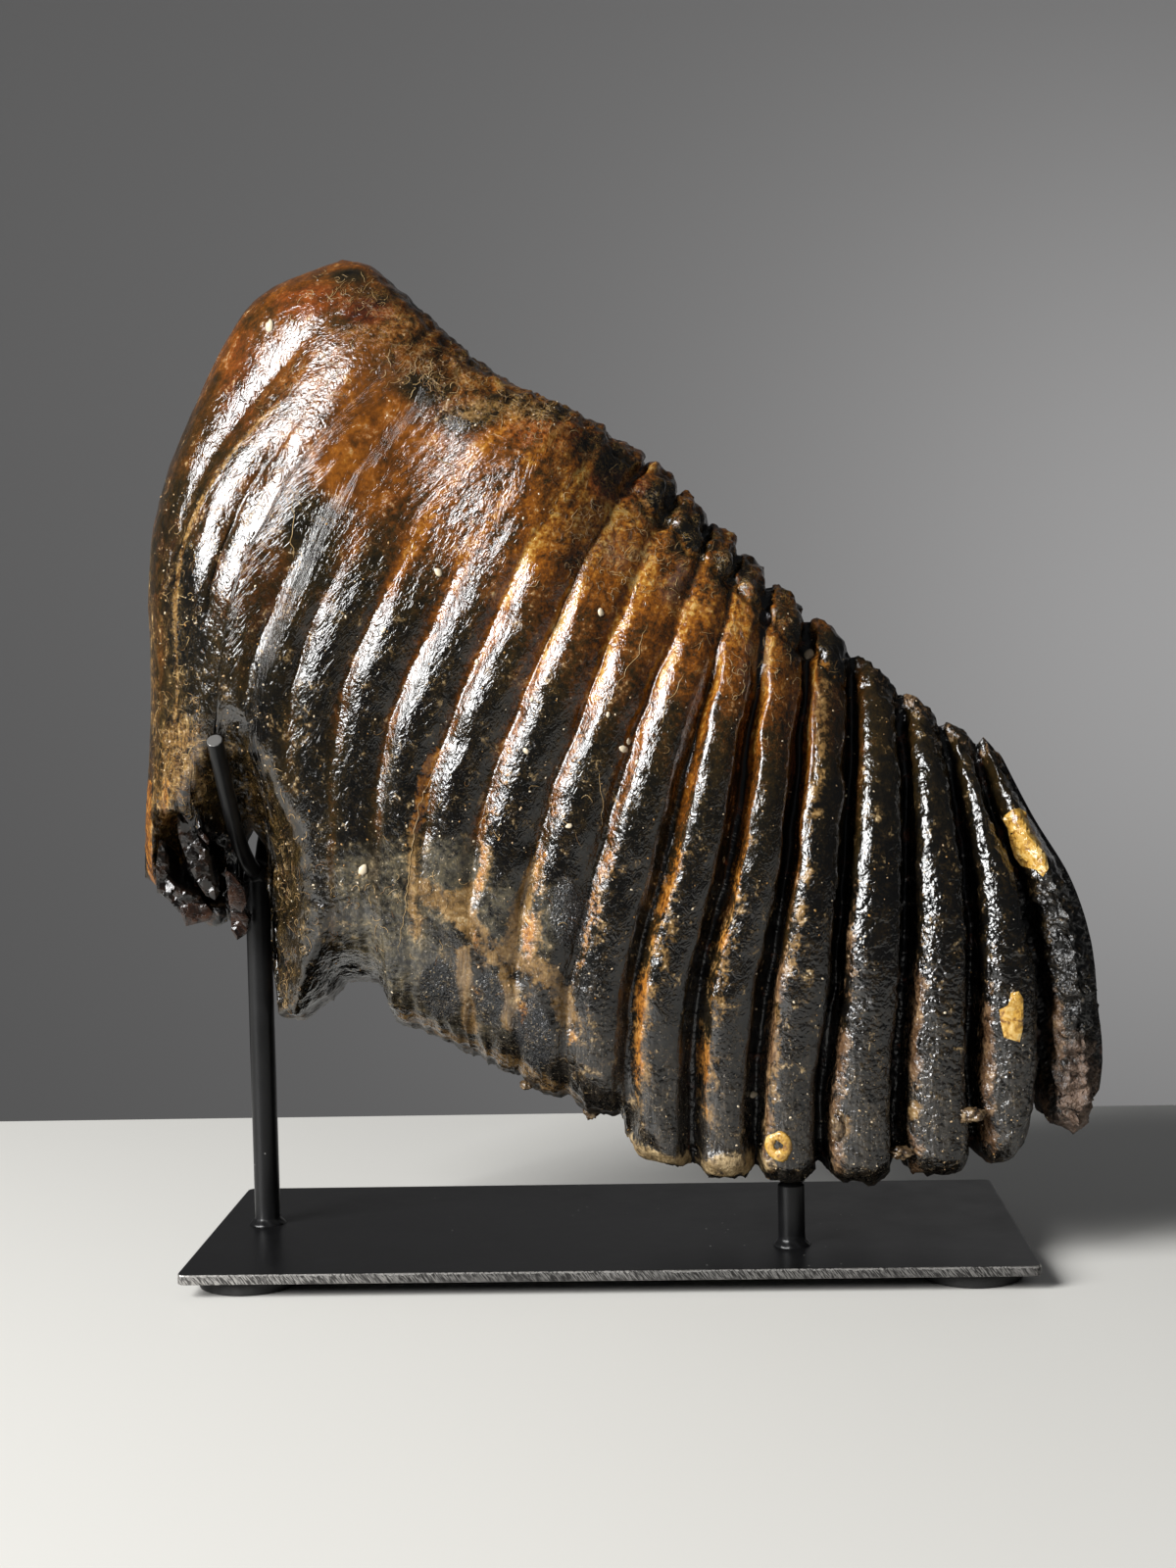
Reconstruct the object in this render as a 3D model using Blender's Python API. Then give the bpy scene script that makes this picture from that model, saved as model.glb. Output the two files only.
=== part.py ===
"""Fossil mammoth molar held upright on a welded steel display stand.

The stand is a flat steel plate on four pads, with a tall post that forks under the tooth's root
end and a short post under its heavy end. The tooth stands loose in the fork and on the short
post. It is one piece: eighteen upright plates side by side, bound by cement into one body.

X runs along the stand from the root end to the free plates, Y runs away from the front, and Z is
up from the surface that the pads stand on.
"""

import math

import bmesh
import bpy
import numpy as np
from mathutils import Vector

MM = 0.001

# --- Driving dimensions of the stand ---------------------------------------------------------
BASE_LENGTH = 250 * MM
BASE_DEPTH = 108 * MM
BASE_THICKNESS = 3 * MM
BASE_CORNER_RADIUS = 2.5 * MM
PAD_DIAMETER = 30 * MM
PAD_THICKNESS = 4 * MM
PAD_INSET = 3 * MM
POST_DIAMETER = 8 * MM
PRONG_DIAMETER = 5.5 * MM
WELD_WIDTH = 1.5 * MM
GAP = 0.3 * MM  # between neighbours that touch
BASE_TOP = PAD_THICKNESS + GAP + BASE_THICKNESS
ROUND_SIDES = 24

# Places on the stand, as (x, y) from the base plate's middle and z above its top face.
TALL_POST_AT = (-109.5 * MM, 6.5 * MM)
TALL_POST_TOP = 110 * MM
SHORT_POST_AT = (55 * MM, -26.5 * MM)
SHORT_POST_TOP = 18.4 * MM
FRONT_PRONG_TIP = (-111.8 * MM, -40 * MM, 155 * MM)
BACK_PRONG_TIP = (-107 * MM, 51 * MM, 155 * MM)
CROSS_ROD_TOP = 17.8 * MM
CROSS_ROD_REACH = 50 * MM

# --- Driving dimensions of the tooth ---------------------------------------------------------
PLATE_COUNT = 18
TOOTH_MIDDLE_X = 3.1 * MM  # the tooth overhangs the base, so its middle is the part's middle
# Each line follows the furrow behind that many plates, from the crown's rim down past the foot.
# Its points are (x, z) in millimetres, at equal shares of the furrow.
FURROWS = {
    0: [(-77, 302), (-107, 287), (-126, 255), (-136, 226), (-140, 185), (-142, 152), (-146, 106)],
    1: [(-61, 293), (-90, 267), (-115, 238), (-125, 204), (-129, 168), (-131, 139), (-132, 90)],
    2: [(-48, 282), (-80, 253), (-103, 224), (-114, 190), (-118, 159), (-119, 127), (-120, 84)],
    3: [(-37, 271), (-69, 236), (-89, 203), (-101, 176), (-105, 150), (-107, 122), (-109, 76)],
    4: [(-26, 263), (-58, 231), (-77, 199), (-88, 173), (-91, 142), (-92, 104), (-94, 55)],
    6: [(-4, 252), (-31, 217), (-49, 184), (-61, 158), (-66, 127), (-67, 98), (-70, 52)],
    8: [(17, 238), (-2, 206), (-17, 174), (-31, 141), (-37, 113), (-39, 84), (-42, 40)],
    10: [(36, 219), (25, 187), (11, 152), (0, 118), (-8, 86), (-11, 60), (-12, 28)],
    12: [(53, 201), (49, 174), (43, 142), (37, 111), (29, 80), (26, 50), (26, 10)],
    14: [(78, 179), (76, 152), (74, 127), (71, 99), (68, 71), (64, 41), (65, 8)],
    16: [(104, 158), (107, 137), (109, 114), (110, 89), (109, 64), (109, 40), (111, 10)],
    17: [(116, 150), (120, 129), (127, 108), (130, 85), (130, 64), (129, 43), (128, 14)],
    18: [(120, 148), (131, 126), (142, 107), (148, 88), (150, 68), (151, 49), (146, 20)],
}
# The broken foot of the tooth as (x, z) in millimetres, from the root end to the free plates.
FOOT = [
    (-160, 118), (-145, 118), (-138, 111), (-131, 105), (-128, 99.5), (-119, 99), (-115.3, 94),
    (-115, 112), (-112, 125), (-109, 130), (-105.5, 124), (-104.2, 112), (-103.8, 74),
    (-102.5, 66), (-97, 64), (-93, 64.5), (-85, 71), (-81, 75.5), (-71, 75.5), (-67, 70),
    (-65.5, 63), (-57, 60), (-41, 52), (-12, 38), (-6, 35), (4, 33.5), (5.5, 26.5), (10, 22),
    (24, 17.5), (37, 15), (64, 14), (84, 14), (105, 17), (116, 19), (122, 22),
    (126, 28), (129, 40), (131, 31), (138, 27), (146, 31), (160, 50),
]
# Tables along the tooth: (how many plates from the root end, value in millimetres or a share).
HALF_WIDTHS = [(0, 37), (2, 42), (5, 45), (10, 45), (14, 42), (16, 36), (18, 27)]
MIDDLE_DEPTHS = [(0, 6), (5, 4), (10, 0), (14, -3), (18, -8)]
CROWN_ROUNDINGS = [(0, 38), (3, 34), (6, 40), (8, 78), (13, 72), (18, 56)]
CROWN_FULLNESS = [(0, 3.2), (6, 3.2), (8, 2.0), (18, 1.9)]
FOOT_ROUNDINGS = [(0, 26), (4, 28), (8, 46), (12, 34), (18, 26)]
FOOT_FULLNESS = [(0, 2.0), (8, 1.8), (12, 2.2), (18, 2.0)]
RIB_HEIGHTS = [(0, 0.8), (3, 1.6), (7, 3.0), (10, 4.0), (13, 4.8), (18, 5.0)]
SLOT_SHARES = [(0, 0), (10, 0), (11, 0.06), (13, 0.22), (15, 0.4), (16, 0.5), (17, 0.6), (18, 0.6)]
TIP_NOTCHES = [(0, 0), (6.5, 0), (8, 2.4), (12, 3.2), (18, 3.6)]
HEEL_NOTCHES = [(0, 0), (7, 0), (12, 3), (14, 5), (18, 6)]
ROOT_END_ROUNDING = 3.4  # in plates
FREE_END_ROUNDING = 0.62  # in plates
SLOT_HALF_SHARE = 0.34  # of half a plate
LEAST_HALF_WIDTH = 0.7
# Broken hollows in the front of the root: (x, z, half width, half height, share of the half width).
HOLLOWS = [(-127, 108, 13, 22, 1.5), (-75, 83, 9, 10, 0.5)]
# The waist that the fork grips, on both sides: it fades out above its top.
WAIST_AT_X = -110
WAIST_TOP = 116
WAIST_HALF_WIDTH = 15
WAIST_FADE = 42
WAIST_SHARE = 0.88
PULP_PIT_DEPTH = 5
PULP_PITS_FROM = 11

# --- Resolution of the faceted tooth ---------------------------------------------------------
COLUMN_SHARES = (0.0, 0.11, 0.3, 0.7, 0.89)  # of a plate
END_STEPS = 7
LOOP_POINTS = 42
LINE_STEPS = 160


def clear_scene():
    for obj in list(bpy.data.objects):
        bpy.data.objects.remove(obj, do_unlink=True)


def finish(name, colour, roughness, metallic=0.0):
    made = bpy.data.materials.new(name)
    made.use_nodes = True
    shader = made.node_tree.nodes["Principled BSDF"]
    shader.inputs["Base Color"].default_value = (*colour, 1)
    shader.inputs["Roughness"].default_value = roughness
    shader.inputs["Metallic"].default_value = metallic
    return made


def add_object(name, mesh, material, parent, place=(0, 0, 0)):
    obj = bpy.data.objects.new(name, mesh)
    bpy.context.scene.collection.objects.link(obj)
    obj.parent = parent
    obj.location = place
    mesh.materials.append(material)
    return obj


# --- The stand -------------------------------------------------------------------------------
def turned_mesh(name, profile):
    """A solid turned round Z from (radius, z) points, listed from the bottom to the top."""
    bm = bmesh.new()
    rings = []
    for radius, z in profile:
        ring = []
        for k in range(ROUND_SIDES):
            turn = 2 * math.pi * k / ROUND_SIDES
            ring.append(bm.verts.new((radius * math.cos(turn), radius * math.sin(turn), z)))
        rings.append(ring)
    for low, high in zip(rings, rings[1:]):
        for k in range(ROUND_SIDES):
            n = (k + 1) % ROUND_SIDES
            bm.faces.new((low[k], low[n], high[n], high[k]))
    bm.faces.new(rings[0][::-1])
    bm.faces.new(rings[-1])
    mesh = bpy.data.meshes.new(name)
    bm.to_mesh(mesh)
    bm.free()
    mesh.shade_smooth()
    mesh.set_sharp_from_angle(angle=math.radians(35))
    return mesh


def rod_mesh(name, length):
    radius = PRONG_DIAMETER / 2
    chamfer = 0.4 * MM
    return turned_mesh(
        name, [(radius, 0), (radius, length - chamfer), (radius - chamfer, length)]
    )


def base_mesh():
    half_x = BASE_LENGTH / 2 - BASE_CORNER_RADIUS
    half_y = BASE_DEPTH / 2 - BASE_CORNER_RADIUS
    outline = []
    for corner, (sign_x, sign_y) in enumerate(((1, 1), (-1, 1), (-1, -1), (1, -1))):
        for step in range(5):
            turn = math.pi / 2 * (corner + step / 4)
            x = sign_x * half_x + BASE_CORNER_RADIUS * math.cos(turn)
            y = sign_y * half_y + BASE_CORNER_RADIUS * math.sin(turn)
            outline.append((x, y))
    bm = bmesh.new()
    low = bm.faces.new([bm.verts.new((x, y, 0)) for x, y in outline])
    sides = bmesh.ops.extrude_face_region(bm, geom=[low])["geom"]
    high = [v for v in sides if isinstance(v, bmesh.types.BMVert)]
    bmesh.ops.translate(bm, verts=high, vec=(0, 0, BASE_THICKNESS))
    bmesh.ops.recalc_face_normals(bm, faces=bm.faces)
    mesh = bpy.data.meshes.new("base_plate")
    bm.to_mesh(mesh)
    bm.free()
    return mesh


def add_rod(name, start, end, material, parent):
    """A straight prong or rod between two points, with a chamfered free end."""
    way = Vector(end) - Vector(start)
    rod = add_object(name, rod_mesh(name, way.length), material, parent, start)
    rod.rotation_euler = way.to_track_quat("Z", "Y").to_euler()
    return rod


def build_stand(assembly):
    steel = finish("satin_black_steel", (0.012, 0.012, 0.013), 0.42, 0.6)
    rubber = finish("black_pad", (0.015, 0.015, 0.015), 0.8)
    add_object("base_plate", base_mesh(), steel, assembly, (0, 0, PAD_THICKNESS + GAP))

    pad_x = BASE_LENGTH / 2 - PAD_INSET - PAD_DIAMETER / 2
    pad_y = BASE_DEPTH / 2 - PAD_INSET - PAD_DIAMETER / 2
    corners = {
        "pad_front_left": (-1, -1),
        "pad_front_right": (1, -1),
        "pad_back_left": (-1, 1),
        "pad_back_right": (1, 1),
    }
    for name, (sign_x, sign_y) in corners.items():
        pad = turned_mesh(name, [(PAD_DIAMETER / 2, 0), (PAD_DIAMETER / 2, PAD_THICKNESS)])
        add_object(name, pad, rubber, assembly, (sign_x * pad_x, sign_y * pad_y, 0))

    radius = POST_DIAMETER / 2
    posts = {
        "tall_post": (TALL_POST_AT, TALL_POST_TOP),
        "short_post": (SHORT_POST_AT, SHORT_POST_TOP),
    }
    for name, ((x, y), height) in posts.items():
        profile = [
            (radius + WELD_WIDTH, GAP),
            (radius + WELD_WIDTH * 0.45, GAP + WELD_WIDTH * 0.4),
            (radius, GAP + WELD_WIDTH),
            (radius, height),
        ]
        add_object(name, turned_mesh(name, profile), steel, assembly, (x, y, BASE_TOP))

    fork = Vector((*TALL_POST_AT, BASE_TOP + TALL_POST_TOP))
    for name, tip in (("front_prong", FRONT_PRONG_TIP), ("back_prong", BACK_PRONG_TIP)):
        tip = Vector(tip) + Vector((0, 0, BASE_TOP))
        way = (tip - fork).normalized()
        side = Vector((way.x, way.y, 0)).normalized()
        start = fork + side * (PRONG_DIAMETER / 2 + GAP) + Vector((0, 0, PRONG_DIAMETER / 2 + GAP))
        add_rod(name, start, tip, steel, assembly)

    x, y = SHORT_POST_AT
    height = BASE_TOP + CROSS_ROD_TOP - PRONG_DIAMETER / 2
    start = (x, y + radius + GAP, height)
    end = (x, y + radius + CROSS_ROD_REACH, height)
    add_rod("cross_rod", start, end, steel, assembly)


# --- Curves that the tooth is drawn from -----------------------------------------------------
def smooth_through(knots, values, at):
    """A smooth curve through the values at the knots, read at each place in at."""
    knots = np.asarray(knots, float)
    values = np.asarray(values, float)
    flat = values.reshape(len(knots), -1)
    gaps = np.diff(knots)[:, None]
    slopes = np.diff(flat, axis=0) / gaps
    inner = (slopes[:-1] * gaps[1:] + slopes[1:] * gaps[:-1]) / (gaps[1:] + gaps[:-1])
    tangents = np.vstack([slopes[:1], inner, slopes[-1:]])
    at = np.clip(np.asarray(at, float), knots[0], knots[-1])
    i = np.clip(np.searchsorted(knots, at, side="right") - 1, 0, len(knots) - 2)
    gap = (knots[i + 1] - knots[i])[:, None]
    s = (at - knots[i])[:, None] / gap
    read = (2 * s**3 - 3 * s**2 + 1) * flat[i] + (s**3 - 2 * s**2 + s) * gap * tangents[i]
    read += (3 * s**2 - 2 * s**3) * flat[i + 1] + (s**3 - s**2) * gap * tangents[i + 1]
    return read.reshape(len(at), *values.shape[1:])


def read_table(table, places):
    """The table's value at each place, in straight steps between its entries."""
    return np.interp(places, [place for place, _ in table], [value for _, value in table])


def ease(x, low, high):
    s = np.clip((x - low) / (high - low), 0, 1)
    return s * s * (3 - 2 * s)


# --- The tooth -------------------------------------------------------------------------------
def column_places():
    """Places of the mesh's columns, in plates from the root end."""
    turn = np.linspace(0, math.pi / 2, END_STEPS + 1)
    root_end = 1 - np.cos(turn)
    free_end = PLATE_COUNT - FREE_END_ROUNDING * (1 - np.cos(turn))
    body = np.add.outer(np.arange(PLATE_COUNT), COLUMN_SHARES).ravel()
    body = body[(body > root_end[-1] + 0.03) & (body < free_end[-1] - 0.03)]
    places = np.concatenate([root_end, body, free_end[::-1]])
    places[0] += 0.0005
    places[-1] -= 0.0005
    return places


def plate_lines(places):
    """Each column's line from the foot to the crown, as (x, z, level), cut at the foot and tips.

    The level is the share of the uncut line, so it passes over the notches in the foot.
    """
    counts = sorted(FURROWS)
    net = smooth_through(counts, [FURROWS[count][::-1] for count in counts], places)
    knots = np.linspace(0, 1, net.shape[1])
    steps = np.linspace(0, 1, LINE_STEPS)
    foot_x = [x for x, _ in FOOT]
    foot_z = [z for _, z in FOOT]
    between = furrow_share(places)
    tips = read_table(TIP_NOTCHES, places) * between**2
    heels = read_table(HEEL_NOTCHES, places) * between**3
    lines = []
    for column, tip, heel in zip(net, tips, heels):
        line = np.column_stack([smooth_through(knots, column, steps), steps])
        above = line[:, 1] - np.interp(line[:, 0], foot_x, foot_z)
        first = int(np.argmax(above > 0))
        if first > 0:
            share = above[first - 1] / (above[first - 1] - above[first])
            start = line[first - 1] + share * (line[first] - line[first - 1])
            line = np.vstack([start, line[first:]])
        run = run_along(line[:, :2])
        at = np.linspace(heel, run[-1] - tip, LINE_STEPS)
        lines.append(np.column_stack([np.interp(at, run, line[:, k]) for k in range(3)]))
    return lines


def run_along(points):
    """How far along the points each one is."""
    return np.concatenate([[0], np.cumsum(np.linalg.norm(np.diff(points, axis=0), axis=1))])


def furrow_share(places):
    """0 on the crest of a plate and 1 in the furrow beside it."""
    places = np.asarray(places)
    return np.abs(places - np.floor(places) - 0.5) * 2


def rounded(distance, rounding, fullness):
    """The share of the full width at each distance from a rounded edge."""
    left = 1 - np.clip(distance / rounding, 0, 1)
    return (1 - left**fullness) ** (1 / fullness)


def half_widths(place, level, above_foot, below_crown):
    """Half the tooth's width at points of one column, in millimetres."""
    full = read_table(HALF_WIDTHS, place)
    root_end = 1 - min(place / ROOT_END_ROUNDING, 1)
    free_end = 1 - min((PLATE_COUNT - place) / FREE_END_ROUNDING, 1)
    full *= math.sqrt(1 - root_end**2) * math.sqrt(1 - free_end**2)
    crown = rounded(
        below_crown, read_table(CROWN_ROUNDINGS, place), read_table(CROWN_FULLNESS, place)
    )
    foot = rounded(
        above_foot, read_table(FOOT_ROUNDINGS, place), read_table(FOOT_FULLNESS, place)
    )
    half = full * crown * foot * (1 - 0.35 * (level - 0.45) ** 2)

    between = furrow_share(place)
    cement = 1 - ease(place, 8, 11.5)
    bare_up_to = 0.56 + 0.05 * (place - 3)
    bare_from = 0.36 - 0.03 * (place - 4)
    ribbed = 1 - cement * ease(level, bare_up_to - 0.05, bare_up_to + 0.16)
    ribbed = ribbed * (1 - cement * (1 - ease(level, bare_from - 0.18, bare_from + 0.06)))
    rib = read_table(RIB_HEIGHTS, place) * between**2.2 * ribbed
    slot = read_table(SLOT_SHARES, place) * ease(between, 1 - SLOT_HALF_SHARE, 0.92)
    carved = np.maximum(half - rib, 0.55 * half) * (1 - slot)
    return np.maximum(carved, np.minimum(half, LEAST_HALF_WIDTH))


def section_loop(place, line):
    """One closed loop: up the front from the foot, over the crown and down the back."""
    run = run_along(line[:, :2])
    at = run[-1] * (0.5 - 0.5 * np.cos(np.linspace(0, math.pi, 3 * LINE_STEPS)))
    x, z, level = (np.interp(at, run, line[:, k]) for k in range(3))
    half = half_widths(place, level, at, run[-1] - at)
    middle = read_table(MIDDLE_DEPTHS, place)
    waist = np.hypot((x - WAIST_AT_X) / WAIST_HALF_WIDTH, np.maximum(z - WAIST_TOP, 0) / WAIST_FADE)
    half = half * (1 - WAIST_SHARE * (1 - ease(waist, 0.25, 1.1)))
    front = -half
    for hollow_x, hollow_z, half_x, half_z, share in HOLLOWS:
        reach = np.hypot((x - hollow_x) / half_x, (z - hollow_z) / half_z)
        front = front + half * share * (1 - ease(reach, 0.75, 1.15))
    rising = np.column_stack([x, middle + front, z])
    falling = np.column_stack([x, middle + half, z])[::-1]
    closed = np.vstack([rising, falling[1:]])
    length = run_along(closed)
    rise = length[len(rising) - 1]
    per_side = LOOP_POINTS // 2
    up = np.linspace(0, rise, per_side + 1)[:-1]
    down = np.linspace(rise, length[-1], per_side + 1)[:-1]
    at = np.concatenate([up, down])
    return np.column_stack([np.interp(at, length, closed[:, k]) for k in range(3)])


def add_pulp_pits(loops, places, lines):
    """Sink a shallow pit into the underside of each open plate."""
    for loop, place, line in zip(loops, places, lines):
        if place < PULP_PITS_FROM:
            continue
        middle = read_table(MIDDLE_DEPTHS, place)
        half = (loop[:, 1].max() - loop[:, 1].min()) / 2
        low = loop[:, 2] - line[0, 1]
        reach = np.hypot(furrow_share(place) / 0.8, (loop[:, 1] - middle) / (0.72 * half))
        pit = PULP_PIT_DEPTH * (1 - ease(reach, 0.55, 1.0)) * (1 - ease(low, 2, 8))
        loop[:, 2] += pit


def tooth_mesh():
    places = column_places()
    lines = plate_lines(places)
    loops = np.stack([section_loop(place, line) for place, line in zip(places, lines)])
    add_pulp_pits(loops, places, lines)
    columns, around = loops.shape[:2]
    faces = []
    for c in range(columns - 1):
        for k in range(around):
            n = (k + 1) % around
            here = c * around
            faces.append((here + k, here + around + k, here + around + n, here + n))
    for c in (0, columns - 1):
        here = c * around
        for k in range(around // 2):
            corners = [here + k, here + k + 1, here + around - k - 1, here + (around - k) % around]
            corners = list(dict.fromkeys(corners))
            if len(corners) > 2:
                faces.append(corners if c == 0 else corners[::-1])
    mesh = bpy.data.meshes.new("tooth")
    mesh.from_pydata((loops.reshape(-1, 3) * MM).tolist(), [], faces)
    mesh.shade_smooth()
    mesh.set_sharp_from_angle(angle=math.radians(60))
    return mesh


def build():
    clear_scene()
    assembly = bpy.data.objects.new("assembly", None)
    bpy.context.scene.collection.objects.link(assembly)
    assembly.location.x = -TOOTH_MIDDLE_X
    build_stand(assembly)
    enamel = finish("varnished_enamel", (0.09, 0.045, 0.018), 0.25)
    add_object("tooth", tooth_mesh(), enamel, assembly, (0, 0, BASE_TOP))


build()
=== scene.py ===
"""A fossil mammoth molar on a welded black steel stand, dressed for a render."""

import math
from functools import reduce

import bmesh
import bpy
import numpy as np
from mathutils import Matrix, Vector, noise
from mathutils.bvhtree import BVHTree
from mathutils.geometry import delaunay_2d_cdt


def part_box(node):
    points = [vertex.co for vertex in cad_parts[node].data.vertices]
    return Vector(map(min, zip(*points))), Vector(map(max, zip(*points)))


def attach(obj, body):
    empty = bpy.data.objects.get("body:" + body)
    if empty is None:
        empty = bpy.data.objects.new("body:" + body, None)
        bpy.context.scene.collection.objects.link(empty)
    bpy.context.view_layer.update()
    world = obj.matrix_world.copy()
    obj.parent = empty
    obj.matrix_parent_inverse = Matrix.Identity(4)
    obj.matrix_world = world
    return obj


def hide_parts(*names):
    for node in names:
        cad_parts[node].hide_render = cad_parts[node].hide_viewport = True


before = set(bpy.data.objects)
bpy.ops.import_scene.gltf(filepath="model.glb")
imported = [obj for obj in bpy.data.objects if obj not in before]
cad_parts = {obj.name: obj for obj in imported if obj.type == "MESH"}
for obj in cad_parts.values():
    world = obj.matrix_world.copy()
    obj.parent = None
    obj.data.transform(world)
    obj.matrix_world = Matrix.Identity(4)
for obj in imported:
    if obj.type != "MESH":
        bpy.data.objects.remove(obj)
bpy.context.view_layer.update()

# === Base plate ================================================================================
# A flat bar of 3 mm steel, sawn to length and sprayed satin black. The front edge was filed after
# painting, so it shows slanting file strokes and a bright rubbed arris. It lies on four pads.
MM = 0.001
plate_low, plate_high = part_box("base_plate")
PLATE_MIDDLE = (plate_low + plate_high) / 2
PLATE_TOP = plate_high.z
PLATE_CORNER = 2.5 * MM
LEAST_CORNER = 0.05 * MM
PLATE_ARRIS = 0.35 * MM
ARRIS_BULGE = 0.1 * MM
LONG_SIDE_STEPS = 150
SHORT_SIDE_STEPS = 50
CORNER_STEPS = 6
FRONT_EDGE = 3 * MM
FILE_SLANT = math.radians(38)

PAINT_BLACK = (0.0044, 0.0044, 0.0047, 1)
PAINT_GREY = (0.0082, 0.0082, 0.0086, 1)
FILED_STEEL = (0.100, 0.094, 0.088, 1)
BRIGHT_STEEL = (0.60, 0.58, 0.55, 1)
DUST_PALE = (0.30, 0.29, 0.28, 1)


def add_node(tree, kind, inputs=None, **settings):
    """A shader node whose inputs are plain values or the outputs of other nodes."""
    made = tree.nodes.new(kind)
    for name, value in settings.items():
        setattr(made, name, value)
    for name, value in (inputs or {}).items():
        if isinstance(value, bpy.types.NodeSocket):
            tree.links.new(value, made.inputs[name])
        else:
            made.inputs[name].default_value = value
    return made


def tree_of(*values):
    """The node tree that the first socket among the values belongs to."""
    return next(value.id_data for value in values if isinstance(value, bpy.types.NodeSocket))


def maths(operation, first, second=0.0):
    tree = tree_of(first, second)
    inputs = {0: first, 1: second}
    return add_node(tree, "ShaderNodeMath", inputs, operation=operation).outputs[0]


def total(*values):
    return reduce(lambda whole, value: maths("ADD", whole, value), values)


def product(*values):
    return reduce(lambda whole, value: maths("MULTIPLY", whole, value), values)


def blend(share, first, second):
    """From the first colour to the second by the share."""
    inputs = {0: share, 6: first, 7: second}
    return add_node(tree_of(share), "ShaderNodeMix", inputs, data_type="RGBA").outputs[2]


def edge_of(value, low, high):
    """0 below low and 1 above high, with a soft step between them."""
    inputs = {"Value": value, "From Min": low, "From Max": high}
    step = add_node(tree_of(value), "ShaderNodeMapRange", inputs, interpolation_type="SMOOTHSTEP")
    return step.outputs[0]


def mottle(place, size, detail=3.0, roughness=0.55, distortion=0.0):
    """Noise from 0 to 1 whose blotches are about size wide, in millimetres."""
    inputs = {
        "Vector": place,
        "Scale": 1000.0 / size,
        "Detail": detail,
        "Roughness": roughness,
        "Distortion": distortion,
    }
    return add_node(tree_of(place), "ShaderNodeTexNoise", inputs).outputs[0]


def cells(place, size):
    """How far each place is from the middle of its cell, for cells about size millimetres wide."""
    inputs = {"Vector": place, "Scale": 1000.0 / size, "Randomness": 1.0}
    return add_node(tree_of(place), "ShaderNodeTexVoronoi", inputs).outputs["Distance"]


def stretched(place, scales):
    tree = tree_of(place)
    inputs = {0: place, 1: scales}
    return add_node(tree, "ShaderNodeVectorMath", inputs, operation="MULTIPLY").outputs[0]


def painted(tree, name, vector=False):
    """A value painted on the mesh's points."""
    return add_node(tree, "ShaderNodeAttribute", attribute_name=name).outputs[1 if vector else 2]


def new_finish(name):
    """A new material, with its node tree, its shader and the place on the piece."""
    made = bpy.data.materials.new(name)
    made.use_nodes = True
    tree = made.node_tree
    shader = tree.nodes["Principled BSDF"]
    place = add_node(tree, "ShaderNodeTexCoord").outputs["Object"]
    return made, tree, shader, place


def set_inputs(shader, height=None, **values):
    """Set or link the shader's sockets, and raise bumps whose height is in millimetres."""
    if height is not None:
        bump = add_node(shader.id_data, "ShaderNodeBump", {"Height": height, "Distance": 1 * MM})
        values["Normal"] = bump.outputs[0]
    for name, value in values.items():
        socket = shader.inputs[name.replace("_", " ")]
        if isinstance(value, bpy.types.NodeSocket):
            shader.id_data.links.new(value, socket)
        else:
            socket.default_value = value


def in_scene(name, data):
    """An object that shows the data, linked to the scene."""
    made = bpy.data.objects.new(name, data)
    bpy.context.scene.collection.objects.link(made)
    return made


def new_piece(mesh, finish, slot, *nodes):
    """A piece of the object in its place, standing for the nodes of the frame."""
    piece = in_scene(mesh.name, mesh)
    mesh.materials.append(finish)
    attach(piece, "root")
    if nodes:
        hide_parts(*nodes)


def paint_points(mesh, name, values):
    """Paint one value, or one vector, on each of the mesh's points."""
    values = np.asarray(values, np.float32)
    single = values.size == len(mesh.vertices)
    layer = mesh.attributes.new(name, "FLOAT" if single else "FLOAT_VECTOR", "POINT")
    layer.data.foreach_set("value" if single else "vector", values.ravel())


def shaped(name, points, faces, sharp=None, **marks):
    """A smooth mesh with its painted marks, its edges sharp above that many degrees."""
    mesh = bpy.data.meshes.new(name)
    mesh.from_pydata([tuple(point) for point in points], [], faces)
    for mark, values in marks.items():
        paint_points(mesh, mark, values)
    mesh.shade_smooth()
    if sharp is not None:
        mesh.set_sharp_from_angle(angle=math.radians(sharp))
    return mesh


def tube_faces(rings, around):
    """The sides between rings of points, and a flat cap at each end."""
    faces = []
    for low in range(0, (rings - 1) * around, around):
        high = low + around
        for k in range(around):
            n = (k + 1) % around
            faces.append((low + k, low + n, high + n, high + k))
    last = (rings - 1) * around
    return faces + [tuple(range(around))[::-1], tuple(range(last, last + around))]


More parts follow.
